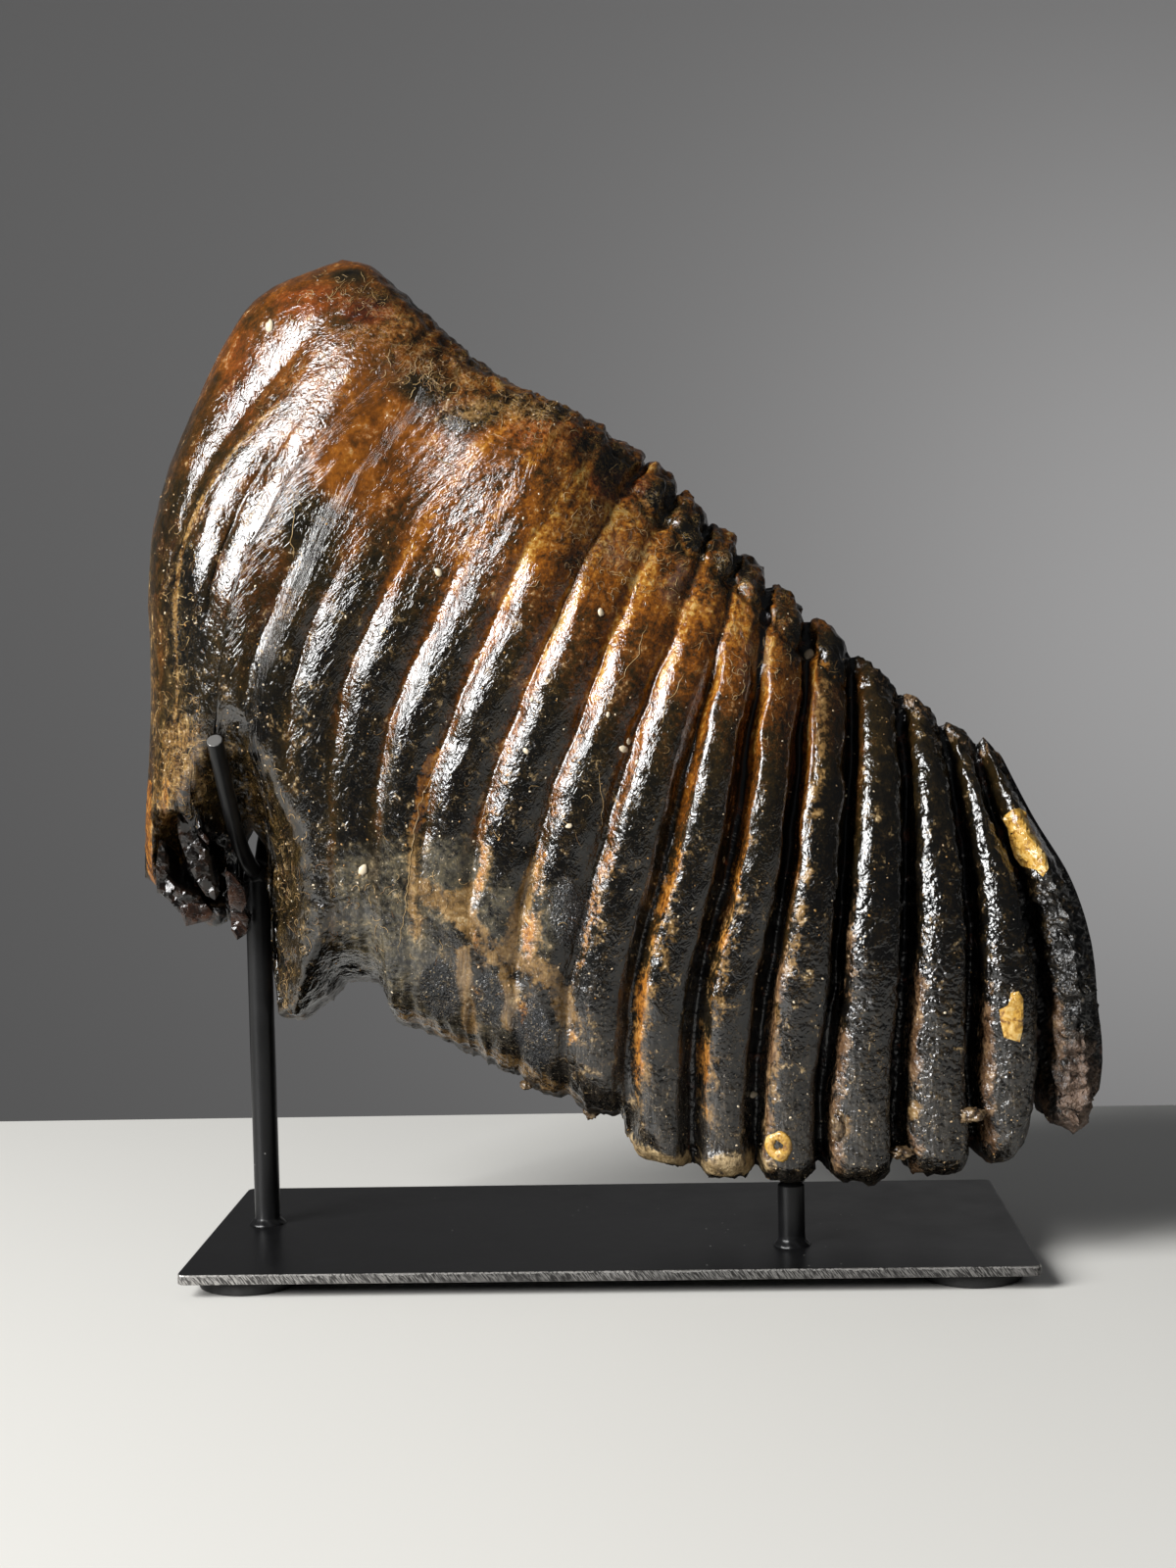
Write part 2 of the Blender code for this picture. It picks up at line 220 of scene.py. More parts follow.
def satin_black(name, filed):
    """Satin black paint over steel. Where it is filed, strokes of bright steel show through."""
    made, tree, shader, place = new_finish(name)
    cloud = mottle(place, 14, 4)
    grit = mottle(place, 0.7, 2)
    tone = total(product(cloud, 0.75), product(grit, 0.25))
    colour = blend(edge_of(tone, 0.35, 0.68), PAINT_BLACK, PAINT_GREY)
    speck_kept = maths("GREATER_THAN", mottle(place, 22, 1), 0.56)
    specks = product(maths("LESS_THAN", cells(place, 5.0), 0.055), speck_kept)
    colour = blend(product(specks, 0.6), colour, DUST_PALE)
    scuff = total(painted(tree, "scuff"), product(mottle(place, 0.9, 3), 0.9))
    rubbed = edge_of(scuff, 0.98, 1.2)
    metal = rubbed
    height = product(grit, 0.012)
    if filed:
        files = painted(tree, "filed")
        turned_by = {"Vector": place, "Rotation": (0, FILE_SLANT, 0)}
        slant = add_node(tree, "ShaderNodeMapping", turned_by).outputs[0]
        strokes = mottle(stretched(slant, (1.0, 1.0, 0.12)), 0.34, 2, 0.6)
        filed_here = product(files, edge_of(strokes, 0.42, 0.62))
        colour = blend(product(files, 0.5), colour, FILED_STEEL)
        colour = blend(product(filed_here, 0.75), colour, BRIGHT_STEEL)
        metal = maths("MAXIMUM", rubbed, product(filed_here, 0.7))
        height = total(height, product(strokes, files, 0.16))
    colour = blend(rubbed, colour, BRIGHT_STEEL)
    rough = total(product(cloud, 0.16), 0.24)
    set_inputs(shader, height, Base_Color=colour, Roughness=rough, Metallic=metal)
    set_inputs(shader, Specular_IOR_Level=0.12 if filed else 0.28)
    return made


def rounded_outline(half_x, half_y, radius, inset):
    """Points round a rectangle with rounded corners, the same number whatever the inset."""
    reach = max(radius - inset, LEAST_CORNER)

    def on_corner(corner, share):
        sign_x = 1 if corner in (0, 3) else -1
        sign_y = 1 if corner in (0, 1) else -1
        middle = Vector((sign_x * (half_x - radius), sign_y * (half_y - radius)))
        turn = math.pi / 2 * (corner + share)
        return middle + reach * Vector((math.cos(turn), math.sin(turn)))

    points = []
    for corner in range(4):
        points += [on_corner(corner, step / CORNER_STEPS) for step in range(CORNER_STEPS + 1)]
        steps = LONG_SIDE_STEPS if corner in (0, 2) else SHORT_SIDE_STEPS
        start, end = points[-1], on_corner((corner + 1) % 4, 0)
        points += [start.lerp(end, step / steps) for step in range(1, steps)]
    return points


def plate_mesh():
    half = (plate_high - plate_low) / 2
    thick = plate_high.z - plate_low.z
    # Rings of points from the underside, up the edge and over the top arris: (inset, height).
    rings = [
        (6 * MM, 0), (PLATE_ARRIS, 0), (ARRIS_BULGE, ARRIS_BULGE), (0, PLATE_ARRIS),
        (0, thick / 2), (0, thick - PLATE_ARRIS), (ARRIS_BULGE, thick - ARRIS_BULGE),
        (PLATE_ARRIS, thick), (0.9 * MM, thick), (2.2 * MM, thick),
    ]
    points, scuffs, files = [], [], []
    for ring, (inset, height) in enumerate(rings):
        corner = max(PLATE_CORNER, inset + LEAST_CORNER)
        for point in rounded_outline(half.x, half.y, corner, inset):
            front = point.y < -half.y + FRONT_EDGE
            along = (point.x + half.x) / (2 * half.x)
            rub = 0.62 + 0.28 * noise.noise(Vector((along * 21, 0, 3))) if front else 0.30
            scuffs.append(rub if 5 <= ring <= 7 else 0.0)
            worn = 0.35 + 0.65 * (1 - min(along / 0.36, 1))
            worn += 0.2 * noise.noise(Vector((along * 9, 5, 0)))
            files.append(worn if front and 1 < ring < 7 else 0.0)
            x, y = point.x + PLATE_MIDDLE.x, point.y + PLATE_MIDDLE.y
            points.append((x, y, plate_low.z + height))
    faces = tube_faces(len(rings), len(points) // len(rings))
    return shaped("base_plate_steel", points, faces, 30, scuff=scuffs, filed=files)


new_piece(plate_mesh(), satin_black("satin_black_plate", True), "steel", "base_plate")

# === Pads ======================================================================================
# Four round stick-on pads of black rubber under the corners of the plate, moulded with a rounded
# lower edge. Each is glued by its whole upper face.
PAD_EDGE = 0.7 * MM
GLUE_GAP = 0.01 * MM
RUBBER_DARK = (0.009, 0.009, 0.009, 1)
RUBBER_WORN = (0.026, 0.025, 0.024, 1)


def turned(profile, middle, steps, lump=None):
    """A shape turned round an upright line from (radius, z) points, from the bottom to the top."""
    points = []
    for ring, (radius, z) in enumerate(profile):
        for k in range(steps):
            turn = 2 * math.pi * k / steps
            reach = radius + (lump(turn, ring) if lump else 0)
            x, y = middle[0] + reach * math.cos(turn), middle[1] + reach * math.sin(turn)
            points.append((x, y, z))
    return points, tube_faces(len(profile), steps)


def rubber():
    made, _, shader, place = new_finish("moulded_rubber")
    dust = mottle(place, 4, 4)
    colour = blend(edge_of(dust, 0.45, 0.75), RUBBER_DARK, RUBBER_WORN)
    rough = total(product(dust, 0.2), 0.62)
    height = product(mottle(place, 0.5, 2), 0.03)
    set_inputs(shader, height, Base_Color=colour, Roughness=rough)
    return made


pad_rubber = rubber()
for corner in ("front_left", "front_right", "back_left", "back_right"):
    low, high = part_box("pad_" + corner)
    radius = (high.x - low.x) / 2
    top = plate_low.z - GLUE_GAP
    profile = [
        (radius * 0.2, 0.25 * MM), (radius * 0.72, 0.2 * MM), (radius * 0.8, 0),
        (radius - PAD_EDGE, 0), (radius - PAD_EDGE * 0.3, PAD_EDGE * 0.3), (radius, PAD_EDGE),
        (radius, top - 0.5 * MM), (radius - 0.15 * MM, top - 0.15 * MM), (radius - 0.5 * MM, top),
    ]
    points, faces = turned(profile, (low + high) / 2, 64)
    mesh = shaped("rubber_pad_" + corner, points, faces, 50)
    new_piece(mesh, pad_rubber, "pads", "pad_" + corner)

# === Posts =====================================================================================
# Two upright lengths of 8 mm round bar, welded to the plate with a small lumpy bead and painted
# with it. Heat and wiping left a pale scuff on the paint around each weld.
BAR_RADIUS = 4 * MM
BAR_CHAMFER = 0.4 * MM
BAR_RINGS = 12
BAR_STEPS = 56
SCUFF_RISE = 0.9 * MM
# How far each post's bead reaches beyond the bar, in millimetres.
BEAD_WIDTHS = {"tall_post": 1.5, "short_post": 1.4}
# The bead from the plate up: (share of its width, millimetres added to that, height).
BEAD_PROFILE = [
    (1, 0.25, -0.05), (1, 0.1, 0.25), (0.82, 0, 0.6), (0.55, 0, 0.95), (0.3, 0, 1.3),
    (0.1, 0, 1.7), (0, 0, 2.1),
]
BAR_FINISH = satin_black("satin_black_bar", False)


def bead_lump(turn, ring):
    """How far the bead's scales stand out at a turn round the bar, or the paint above them."""
    if ring >= len(BEAD_PROFILE):
        return 0.03 * MM * noise.noise(Vector((math.cos(turn) * 2, math.sin(turn) * 2, ring)))
    wave = 0.5 + 0.5 * math.sin(11 * turn + 0.7 * ring)
    return 0.28 * MM * wave * math.sin(math.pi * min(ring + 0.5, 6) / 6.5)


post_sizes = {}
for node_name, bead in BEAD_WIDTHS.items():
    low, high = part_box(node_name)
    middle = (low + high) / 2
    post_sizes[node_name] = (middle, high.z)
    profile = [
        (BAR_RADIUS + (bead * share + extra) * MM, PLATE_TOP + height * MM)
        for share, extra, height in BEAD_PROFILE
    ]
    bead_top = profile[-1][1]
    rise = (high.z - BAR_CHAMFER - bead_top) / BAR_RINGS
    profile += [(BAR_RADIUS, bead_top + rise * (k + 1)) for k in range(BAR_RINGS)]
    profile += [(BAR_RADIUS - BAR_CHAMFER, high.z)]
    points, faces = turned(profile, middle, BAR_STEPS, bead_lump)
    scuffs = []
    for x, y, z in points:
        turn = math.atan2(y - middle.y, x - middle.x)
        low_down = max(0.0, 1 - (z - PLATE_TOP) / SCUFF_RISE)
        scuffs.append(0.42 * low_down * (0.75 + 0.5 * noise.noise(Vector((turn * 1.7, 1, 0)))))
    mesh = shaped(node_name + "_bar", points, faces, 40, scuff=scuffs)
    new_piece(mesh, BAR_FINISH, "steel", node_name)

# === Fork and cross rod ========================================================================
# The fork is a thinner round bar bent to a V and welded on the tall post, its ends cut off square
# and left bright. A like bar, welded on the short post's top, reaches back under the tooth.
PRONG_RADIUS = 2.5 * MM
PRONG_CHAMFER = 0.35 * MM
PRONG_STEPS = 32
BEND_STEPS = 12
# Along the front arm, from the tip down: how far along it is, and how much it is bowed there.
BOWED = [(0.8, 0.35), (0.6, 0.8), (0.4, 1.2), (0.25, 1.4), (0.16, 1.3)]
BOW = Vector((-1.6 * MM, 0, 0))
# The weld from the post's top up: (share of the bar's radius, millimetres added, height).
WELD_PROFILE = [
    (0.6, 0, -1.2), (1, 0.25, -0.8), (1, 0.25, 0), (1, 0.1, 1.2), (0.94, 0, 2.6), (0.78, 0, 4.0),
    (0.5, 0, 5.2), (0.15, 0, 5.8),
]


def swept(path):
    """A round bar along the path, with a small chamfer at both ends and flat cut faces."""
    ways = [(path[1] - path[0]).normalized()]
    ways += [(after - before).normalized() for before, after in zip(path, path[2:])]
    ways += [(path[-1] - path[-2]).normalized()]
    first, last = path[0] + ways[0] * PRONG_CHAMFER, path[-1] - ways[-1] * PRONG_CHAMFER
    middles = [path[0], first, *path[1:-1], last, path[-1]]
    ways = [ways[0], *ways, ways[-1]]
    across = ways[0].orthogonal().normalized()
    points = []
    for middle, way in zip(middles, ways):
        at_end = middle in (path[0], path[-1])
        reach = PRONG_RADIUS - PRONG_CHAMFER if at_end else PRONG_RADIUS
        across = (across - way * across.dot(way)).normalized()
        other = way.cross(across)
        for k in range(PRONG_STEPS):
            turn = 2 * math.pi * k / PRONG_STEPS
            points.append(middle + reach * (across * math.cos(turn) + other * math.sin(turn)))
    return points, tube_faces(len(middles), PRONG_STEPS)


def cut_bar(name, path, cut_ends, *nodes):
    """A painted bar along the path, with bare bright steel where its ends are cut off."""
    points, faces = swept(path)
    bright = []
    for point in points:
        away = min((point - end).length for end in cut_ends)
        bright.append(0.95 if away < PRONG_RADIUS else 0.0)
    new_piece(shaped(name, points, faces, 30, scuff=bright), BAR_FINISH, "steel", *nodes)


def rod_ends(node_name, lower):
    """The middles of a straight rod's two end faces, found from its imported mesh."""
    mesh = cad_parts[node_name].data
    points = np.array([v.co for v in mesh.vertices])
    centre = points.mean(0)
    way = np.linalg.svd(points - centre, full_matrices=False)[2][0]
    if (way[2] < 0) if lower else (way[1] < 0):
        way = -way
    run = (points - centre) @ way
    return Vector(centre + way * run.min()), Vector(centre + way * run.max())


front_start, front_tip = rod_ends("front_prong", True)
back_start, back_tip = rod_ends("back_prong", True)
tall_middle, tall_top = post_sizes["tall_post"]
bend_low = Vector((tall_middle.x, tall_middle.y, tall_top + PRONG_RADIUS * 0.8))
fork_path = [front_tip, front_start.lerp(front_tip, 0.97)]
fork_path += [front_start.lerp(front_tip, share) + BOW * bowed for share, bowed in BOWED]
first = front_start.lerp(front_tip, 0.13) + BOW * 1.2
last = back_start.lerp(back_tip, 0.13)
dip = bend_low * 2 - (first + last) / 2
for step in range(1, BEND_STEPS):
    share = step / BEND_STEPS
    fork_path.append(first * (1 - share) ** 2 + dip * 2 * share * (1 - share) + last * share**2)
fork_path += [back_start.lerp(back_tip, share) for share in (0.16, 0.5, 0.97, 1)]
cut_bar("fork_bar", fork_path, (front_tip, back_tip), "front_prong", "back_prong")

profile = [
    (BAR_RADIUS * share + extra * MM, tall_top + height * MM)
    for share, extra, height in WELD_PROFILE
]
points, faces = turned(
    profile, tall_middle, 40, lambda turn, ring: 0.22 * MM * math.sin(7 * turn + 1.3 * ring)
)
mesh = shaped("fork_weld", points, faces, scuff=[0.1] * len(points))
new_piece(mesh, BAR_FINISH, "steel")

rod_start, rod_end = rod_ends("cross_rod", False)
rod_path = [rod_start - Vector((0, PRONG_RADIUS, 0))]
rod_path += [rod_start.lerp(rod_end, share) for share in (0, 0.3, 0.6, 0.9, 0.985, 1)]
cut_bar("cross_bar", rod_path, (rod_end,), "cross_rod")

# === Tooth: body ===============================================================================
# A whole molar of eighteen upright enamel plates bound by cement, turned to stone and then coated
# in thick clear varnish. The root end is smooth and stained rust, and the free plates are black.
# It stands loose in the fork and on the short post.
PLATE_COUNT = 18
# Each line follows the furrow behind that many plates, from the crown's rim down past the foot.
# Its points are (x, z) in millimetres from the base plate's middle and top, at equal shares.
FURROWS = {
    0: [(-77, 302), (-107, 287), (-126, 255), (-136, 226), (-140, 185), (-142, 152), (-146, 106)],
    1: [(-61, 293), (-90, 267), (-115, 238), (-125, 204), (-129, 168), (-131, 139), (-132, 90)],
    2: [(-48, 282), (-80, 253), (-103, 224), (-114, 190), (-118, 159), (-119, 127), (-120, 84)],
    3: [(-37, 271), (-69, 236), (-89, 203), (-101, 176), (-105, 150), (-107, 122), (-109, 76)],
    4: [(-26, 263), (-58, 231), (-77, 199), (-88, 173), (-91, 142), (-92, 104), (-94, 55)],
    6: [(-4, 252), (-31, 217), (-49, 184), (-61, 158), (-66, 127), (-67, 98), (-70, 52)],
    8: [(17, 238), (-2, 206), (-17, 174), (-31, 141), (-37, 113), (-39, 84), (-42, 40)],
    10: [(36, 219), (25, 187), (11, 152), (0, 118), (-8, 86), (-11, 60), (-12, 28)],
    12: [(53, 201), (49, 174), (43, 142), (37, 111), (29, 80), (26, 50), (26, 10)],
    14: [(78, 179), (76, 152), (74, 127), (71, 99), (68, 71), (64, 41), (65, 8)],
    16: [(104, 158), (107, 137), (109, 114), (110, 89), (109, 64), (109, 40), (111, 10)],
    17: [(113.5, 152), (117.5, 131), (124.5, 109), (129, 85), (130, 64), (129, 43), (128, 14)],
    18: [(120, 148), (131, 126), (142, 107), (148, 88), (150, 68), (151, 49), (146, 20)],
}
# The broken foot as (x, z) in millimetres, from the root end to the free plates.
FOOT = [
    (-160, 112), (-146, 111), (-143, 109), (-140.5, 106.5), (-137.6, 106.6), (-135.7, 105),
    (-133.5, 101), (-131, 97), (-123.3, 98), (-120.2, 97), (-118, 94), (-115.6, 92), (-115, 110),
    (-112.4, 119), (-109.6, 124.5), (-106.4, 119), (-104.8, 110), (-103.8, 74), (-102.5, 66),
    (-97, 64), (-93, 64.5), (-85, 71), (-81, 75.5), (-71, 75.5), (-67, 70), (-65.5, 63), (-57, 60),
    (-41, 52), (-12, 38), (-6, 35), (4, 33.5), (5.5, 26.5), (10, 22), (24, 17.5), (37, 15),
    (64, 14), (84, 14), (105, 17), (116, 19), (122, 22), (126, 28), (129, 40), (131, 31),
    (138, 27), (146, 31), (160, 50),
]
# Tables along the tooth: (how many plates from the root end, value in millimetres or a share).
# Its half width, and how far behind the base plate's middle line its own middle lies.
HALF_WIDTHS = [(0, 37), (2, 42), (5, 45), (10, 45), (14, 42), (16, 36), (18, 27)]
MIDDLE_DEPTHS = [(0, 6), (5, 4), (10, 0), (14, -3), (18, -8)]
# How far down the crown is rounded over and how squarely, and the same for the foot.
CROWN_ROUNDINGS = [(0, 38), (3, 34), (6, 40), (8, 78), (12, 74), (14, 94), (18, 84)]
CROWN_FULLNESS = [(0, 3.2), (6, 3.2), (8, 2.0), (12, 1.9), (14, 1.65), (18, 1.6)]
FOOT_ROUNDINGS = [(0, 26), (4, 28), (8, 38), (11, 22), (12, 13), (18, 12)]
FOOT_FULLNESS = [(0, 2.0), (8, 1.8), (12, 2.2), (18, 2.0)]
# How far the ribs stand out, and how far up they are bare of cement.
RIB_HEIGHTS = [(0, 1.6), (1, 2.3), (3, 2.3), (4, 2.5), (7, 3.2), (10, 4.2), (13, 5.0), (18, 5.0)]
BARE_UP_TO = [(0, 0.86), (1.5, 0.80), (3, 0.62), (4, 0.60), (7, 0.74), (9, 0.84), (18, 1.2)]
# The free plates are bars, with slots between them and notches between their tips and feet.
BAR_DEPTH = 6.8
BAR_SHARE = 0.90
SLOT_SHARES = [(0, 0), (10, 0), (11, 0.06), (13, 0.22), (15, 0.4), (16, 0.5), (17, 0.6), (18, 0.6)]
TIP_NOTCHES = [(0, 0), (6.5, 0), (8, 2.0), (12, 3.0), (18, 3.6)]
HEEL_NOTCHES = [(0, 0), (7, 0), (12, 3), (14, 5), (18, 6)]
TOP_SHOULDER = (1.7, 1.3)
ROOT_END_ROUNDING = 3.4
FREE_END_ROUNDING = 0.50
LEAST_HALF_WIDTH = 0.7
LEAST_CARVED = 0.55
FULLEST_LEVEL = 0.45
FLANK_TAPER = 0.35
RIB_SHARPNESS = 2.2
CROWN_NICK = 2.6
# How much of the furrows is filled with cement near the crown of the middle plates.
CLOGGING = 0.8
PIT_DEPTH = 5
PLATE_SPACING = 16.3
END_STEPS = 15
# Hollows in the front: (x, z, half width, half height, depth as a share, where its slope starts).
HOLLOWS = [
    (-130, 110, 9, 22, 1.5, 0.7), (-120, 108, 9, 17, 1.0, 0.6), (-76, 80, 12, 11, 0.25, 0.1),
]
# The root end narrows to half this width at the fork's bend, (x, z), and widens from there: by so
# much for each millimetre up, and to the left and the right, with a soft bend into the flanks.
FORK_AT = (-110, 124.5)
FORK_HALF = 8.5
FORK_RISE = 1.2
FORK_SPREAD = (1.8, 2.2)
FORK_SOFTNESS = 4
FORK_BEND = 5
FORK_EVEN = 4
FORK_WAVE = 4

COLUMNS_PER_PLATE = 18
FRONT_POINTS = 164
BACK_POINTS = 124
LINE_STEPS = 160


def smooth_through(knots, values, at):
    """A smooth curve through the values at the knots, read at each place in at."""
    knots = np.asarray(knots, float)
    values = np.asarray(values, float)
    flat = values.reshape(len(knots), -1)
    gaps = np.diff(knots)[:, None]
    slopes = np.diff(flat, axis=0) / gaps
    inner = (slopes[:-1] * gaps[1:] + slopes[1:] * gaps[:-1]) / (gaps[1:] + gaps[:-1])
    tangents = np.vstack([slopes[:1], inner, slopes[-1:]])
    at = np.clip(np.asarray(at, float), knots[0], knots[-1])
    i = np.clip(np.searchsorted(knots, at, side="right") - 1, 0, len(knots) - 2)
    gap = (knots[i + 1] - knots[i])[:, None]
    s = (at - knots[i])[:, None] / gap
    read = (2 * s**3 - 3 * s**2 + 1) * flat[i] + (s**3 - 2 * s**2 + s) * gap * tangents[i]
    read += (3 * s**2 - 2 * s**3) * flat[i + 1] + (s**3 - s**2) * gap * tangents[i + 1]
    return read.reshape(len(at), *values.shape[1:])


def read_table(table, places):
    """The table's value at each place, in straight steps between its entries."""
    return np.interp(places, [place for place, _ in table], [value for _, value in table])


def ease(x, low, high):
    """0 up to low and 1 from high on, with a soft step between them."""
    s = np.clip((x - low) / (high - low), 0, 1)
    return s * s * (3 - 2 * s)


def fade(x, low, high):
    """1 up to low and 0 from high on, with a soft step between them."""
    return 1 - ease(x, low, high)


def span(x, low, full, fading, gone):
    """1 from full to fading, and 0 up to low and from gone on."""
    return ease(x, low, full) * fade(x, fading, gone)


def run_along(points):
    """How far along the points each one is."""
    return np.concatenate([[0], np.cumsum(np.linalg.norm(np.diff(points, axis=0), axis=1))])


def furrow_share(places):
    """0 on the crest of a plate and 1 in the furrow beside it."""
    places = np.asarray(places)
    return np.abs(places - np.floor(places) - 0.5) * 2


def lumps(points, size, octaves, seed):
    """Noise from -1 to 1 at each point, with lumps about size millimetres wide."""
    shift = Vector((seed * 13.7, seed * 7.1, seed * 3.3))
    return np.array(
        [noise.fractal(Vector(p) / size + shift, 1.0, 2.0, octaves) for p in points.reshape(-1, 3)]
    ).reshape(points.shape[:-1])


def column_places():
    """Places of the mesh's columns, in plates from the root end, closer together in furrows."""
    shares = np.arange(COLUMNS_PER_PLATE) / COLUMNS_PER_PLATE
    body = []
    for plate in range(PLATE_COUNT):
        crowd = 0.02 + 0.07 * ease(plate, 6, 12)
        body.append(plate + shares - crowd * np.sin(2 * math.pi * shares))
    body = np.concatenate(body)
    turn = np.linspace(0, math.pi / 2, END_STEPS)
    root_end = 1 - np.cos(turn)
    free_end = PLATE_COUNT - FREE_END_ROUNDING * (1 - np.cos(turn))
    body = body[(body > root_end[-1] + 0.02) & (body < free_end[-1] - 0.02)]
    places = np.concatenate([root_end, body, free_end[::-1]])
    places[0] += 0.0005
    places[-1] -= 0.0005
    return places


def raggedness(places, pace, seed):
    """Noise from -1 to 1 along the tooth, with so many lumps to a plate."""
    spots = [Vector((place * pace, seed, 0)) for place in places]
    return np.array([noise.fractal(spot, 0.8, 2.0, 3) for spot in spots])


def plate_lines(places):
    """Each column's line from foot to crown, as (x, z, level), cut at the foot and the tips."""
    counts = sorted(FURROWS)
    net = smooth_through(counts, [FURROWS[count][::-1] for count in counts], places)
    net[:, -1] += np.exp(-(((places - 0.5) / 0.35) ** 2))[:, None] * TOP_SHOULDER
    knots = np.linspace(0, 1, net.shape[1])
    steps = np.linspace(0, 1, LINE_STEPS)
    foot_x = np.array([x for x, _ in FOOT])
    foot_z = np.array([z for _, z in FOOT])
    between = furrow_share(places)
    tips = read_table(TIP_NOTCHES, places) * between**3.5
    tips = tips * (1 - 0.35 * span(places, 7, 8.5, 13, 14.5))
    heels = read_table(HEEL_NOTCHES, places) * between**3
    heels = heels + 0.9 * (raggedness(places, 5.5, 3.1) + 0.9) * ease(places, 0.6, 2)
    tips = tips + 0.55 * (raggedness(places, 3.1, 9.4) + 0.7) * ease(places, 6.5, 8)
    lines = []
    for column, tip, heel in zip(net, tips, heels):
        line = np.column_stack([smooth_through(knots, column, steps), steps])
        above = line[:, 1] - np.interp(line[:, 0], foot_x, foot_z)
        first = int(np.argmax(above > 0))
        if first > 0:
            share = above[first - 1] / (above[first - 1] - above[first])
            start = line[first - 1] + share * (line[first] - line[first - 1])
            line = np.vstack([start, line[first:]])
        run = run_along(line[:, :2])
        at = np.linspace(heel, run[-1] - tip, LINE_STEPS)
        lines.append(np.column_stack([np.interp(at, run, line[:, k]) for k in range(3)]))
    return lines


def rounded(distance, place, roundings, fullnesses):
    """The share of the full width at each distance from an edge rounded as the tables say."""
    fullness = read_table(fullnesses, place)
    left = 1 - np.clip(distance / read_table(roundings, place), 0, 1)
    return (1 - left**fullness) ** (1 / fullness)


def half_widths(place, level, above_foot, below_crown):
    """Half the tooth's width at points of one column, in millimetres."""
    free = ease(place, 12, 14)
    own_middle = place * (1 - free) + (min(math.floor(place), PLATE_COUNT - 1) + 0.5) * free
    full = read_table(HALF_WIDTHS, own_middle)
    root_end = 1 - min(place / ROOT_END_ROUNDING, 1)
    free_end = 1 - min((PLATE_COUNT - place) / FREE_END_ROUNDING, 1)
    full *= math.sqrt(1 - root_end**2) * math.sqrt(1 - free_end**2)
    crown = rounded(below_crown, place, CROWN_ROUNDINGS, CROWN_FULLNESS)
    foot = rounded(above_foot, place, FOOT_ROUNDINGS, FOOT_FULLNESS)
    half = full * crown * foot * (1 - FLANK_TAPER * (level - FULLEST_LEVEL) ** 2)

    between = furrow_share(place)
    cement = fade(place, 8, 11.5)
    bare_up_to = read_table(BARE_UP_TO, place)
    bare_from = 0.50 - 0.035 * (place - 4)
    ribbed = 1 - cement * ease(level, bare_up_to - 0.05, bare_up_to + 0.16)
    ribbed = ribbed * (1 - cement * fade(level, bare_from - 0.18, bare_from + 0.06))
    clogged = 1 - CLOGGING * span(place, 7, 8.5, 12, 14) * ease(level, 0.72, 0.86)
    rib = read_table(RIB_HEIGHTS, place) * between**RIB_SHARPNESS * ribbed * clogged
    at_crown = fade(below_crown, 5, 13) * span(place, 7, 8, 13, 16)
    rib = rib + CROWN_NICK * between**5 * at_crown
    bar = BAR_DEPTH * (1 - math.sqrt(1 - min(between / BAR_SHARE, 1) ** 2))
    rib = rib * (1 - free) + bar * free
    slot_share = read_table(SLOT_SHARES, place)
    slot = slot_share * ease(between, 0.62 + 0.18 * free, 0.86 + 0.10 * free) * clogged
    carved = np.maximum(half - rib, LEAST_CARVED * half) * (1 - slot)
    return np.maximum(carved, np.minimum(half, LEAST_HALF_WIDTH))


def gripped(x, z):
    """The most that half the width may be at (x, z), for the tooth to lie between the arms."""
    bend_x, bend_z = FORK_AT
    up = FORK_BEND * np.log1p(np.exp(np.minimum((z - bend_z) / FORK_BEND, 40))) - 3
    left, right = FORK_SPREAD
    aside = np.maximum((bend_x - FORK_EVEN - x) * left, (x - bend_x - FORK_EVEN) * right).clip(0)
    wavy = lumps(np.stack([x, np.zeros_like(x), z], axis=-1), 10, 3, 12)
    return FORK_HALF + FORK_RISE * up + aside + FORK_WAVE * (wavy - 0.6)


def section_loop(place, line):
    """One closed loop up the front, over the crown and down the back.

    Its columns are x, y, z, level, millimetres above the foot and below the crown, and the side.
    """
    run = run_along(line[:, :2])
    at = run[-1] * (0.5 - 0.5 * np.cos(np.linspace(0, math.pi, 3 * LINE_STEPS)))
    x, z, level = (np.interp(at, run, line[:, k]) for k in range(3))
    half = half_widths(place, level, at, run[-1] - at)
    middle = read_table(MIDDLE_DEPTHS, place)
    spare = np.clip((gripped(x, z) - half) / FORK_SOFTNESS, -30, 30)
    half = np.maximum(half - FORK_SOFTNESS * np.log1p(np.exp(-spare)), LEAST_HALF_WIDTH)
    front = -half
    for hollow_x, hollow_z, half_x, half_z, share, start in HOLLOWS:
        reach = np.hypot((x - hollow_x) / half_x, (z - hollow_z) / half_z)
        front = front + half * share * fade(reach, start, 1.1)
    facts = np.column_stack([level, at, run[-1] - at])
    rising = np.column_stack([x, middle + front, z, facts, np.full(len(x), -1.0)])
    falling = np.column_stack([x, middle + half, z, facts, np.full(len(x), 1.0)])[::-1]
    closed = np.vstack([rising, falling[1:]])
    length = run_along(closed[:, :3])
    rise = length[len(rising) - 1]
    up = np.linspace(0, rise, FRONT_POINTS + 1)[:-1]
    down = np.linspace(rise, length[-1], BACK_POINTS + 1)[:-1]
    at = np.concatenate([up, down])
    return np.column_stack([np.interp(at, length, closed[:, k]) for k in range(closed.shape[1])])


def grid_normals(grid):
    across = np.gradient(grid, axis=0)
    around = np.roll(grid, -1, axis=1) - np.roll(grid, 1, axis=1)
    normals = np.cross(across, around)
    return normals / np.maximum(np.linalg.norm(normals, axis=2, keepdims=True), 1e-9)


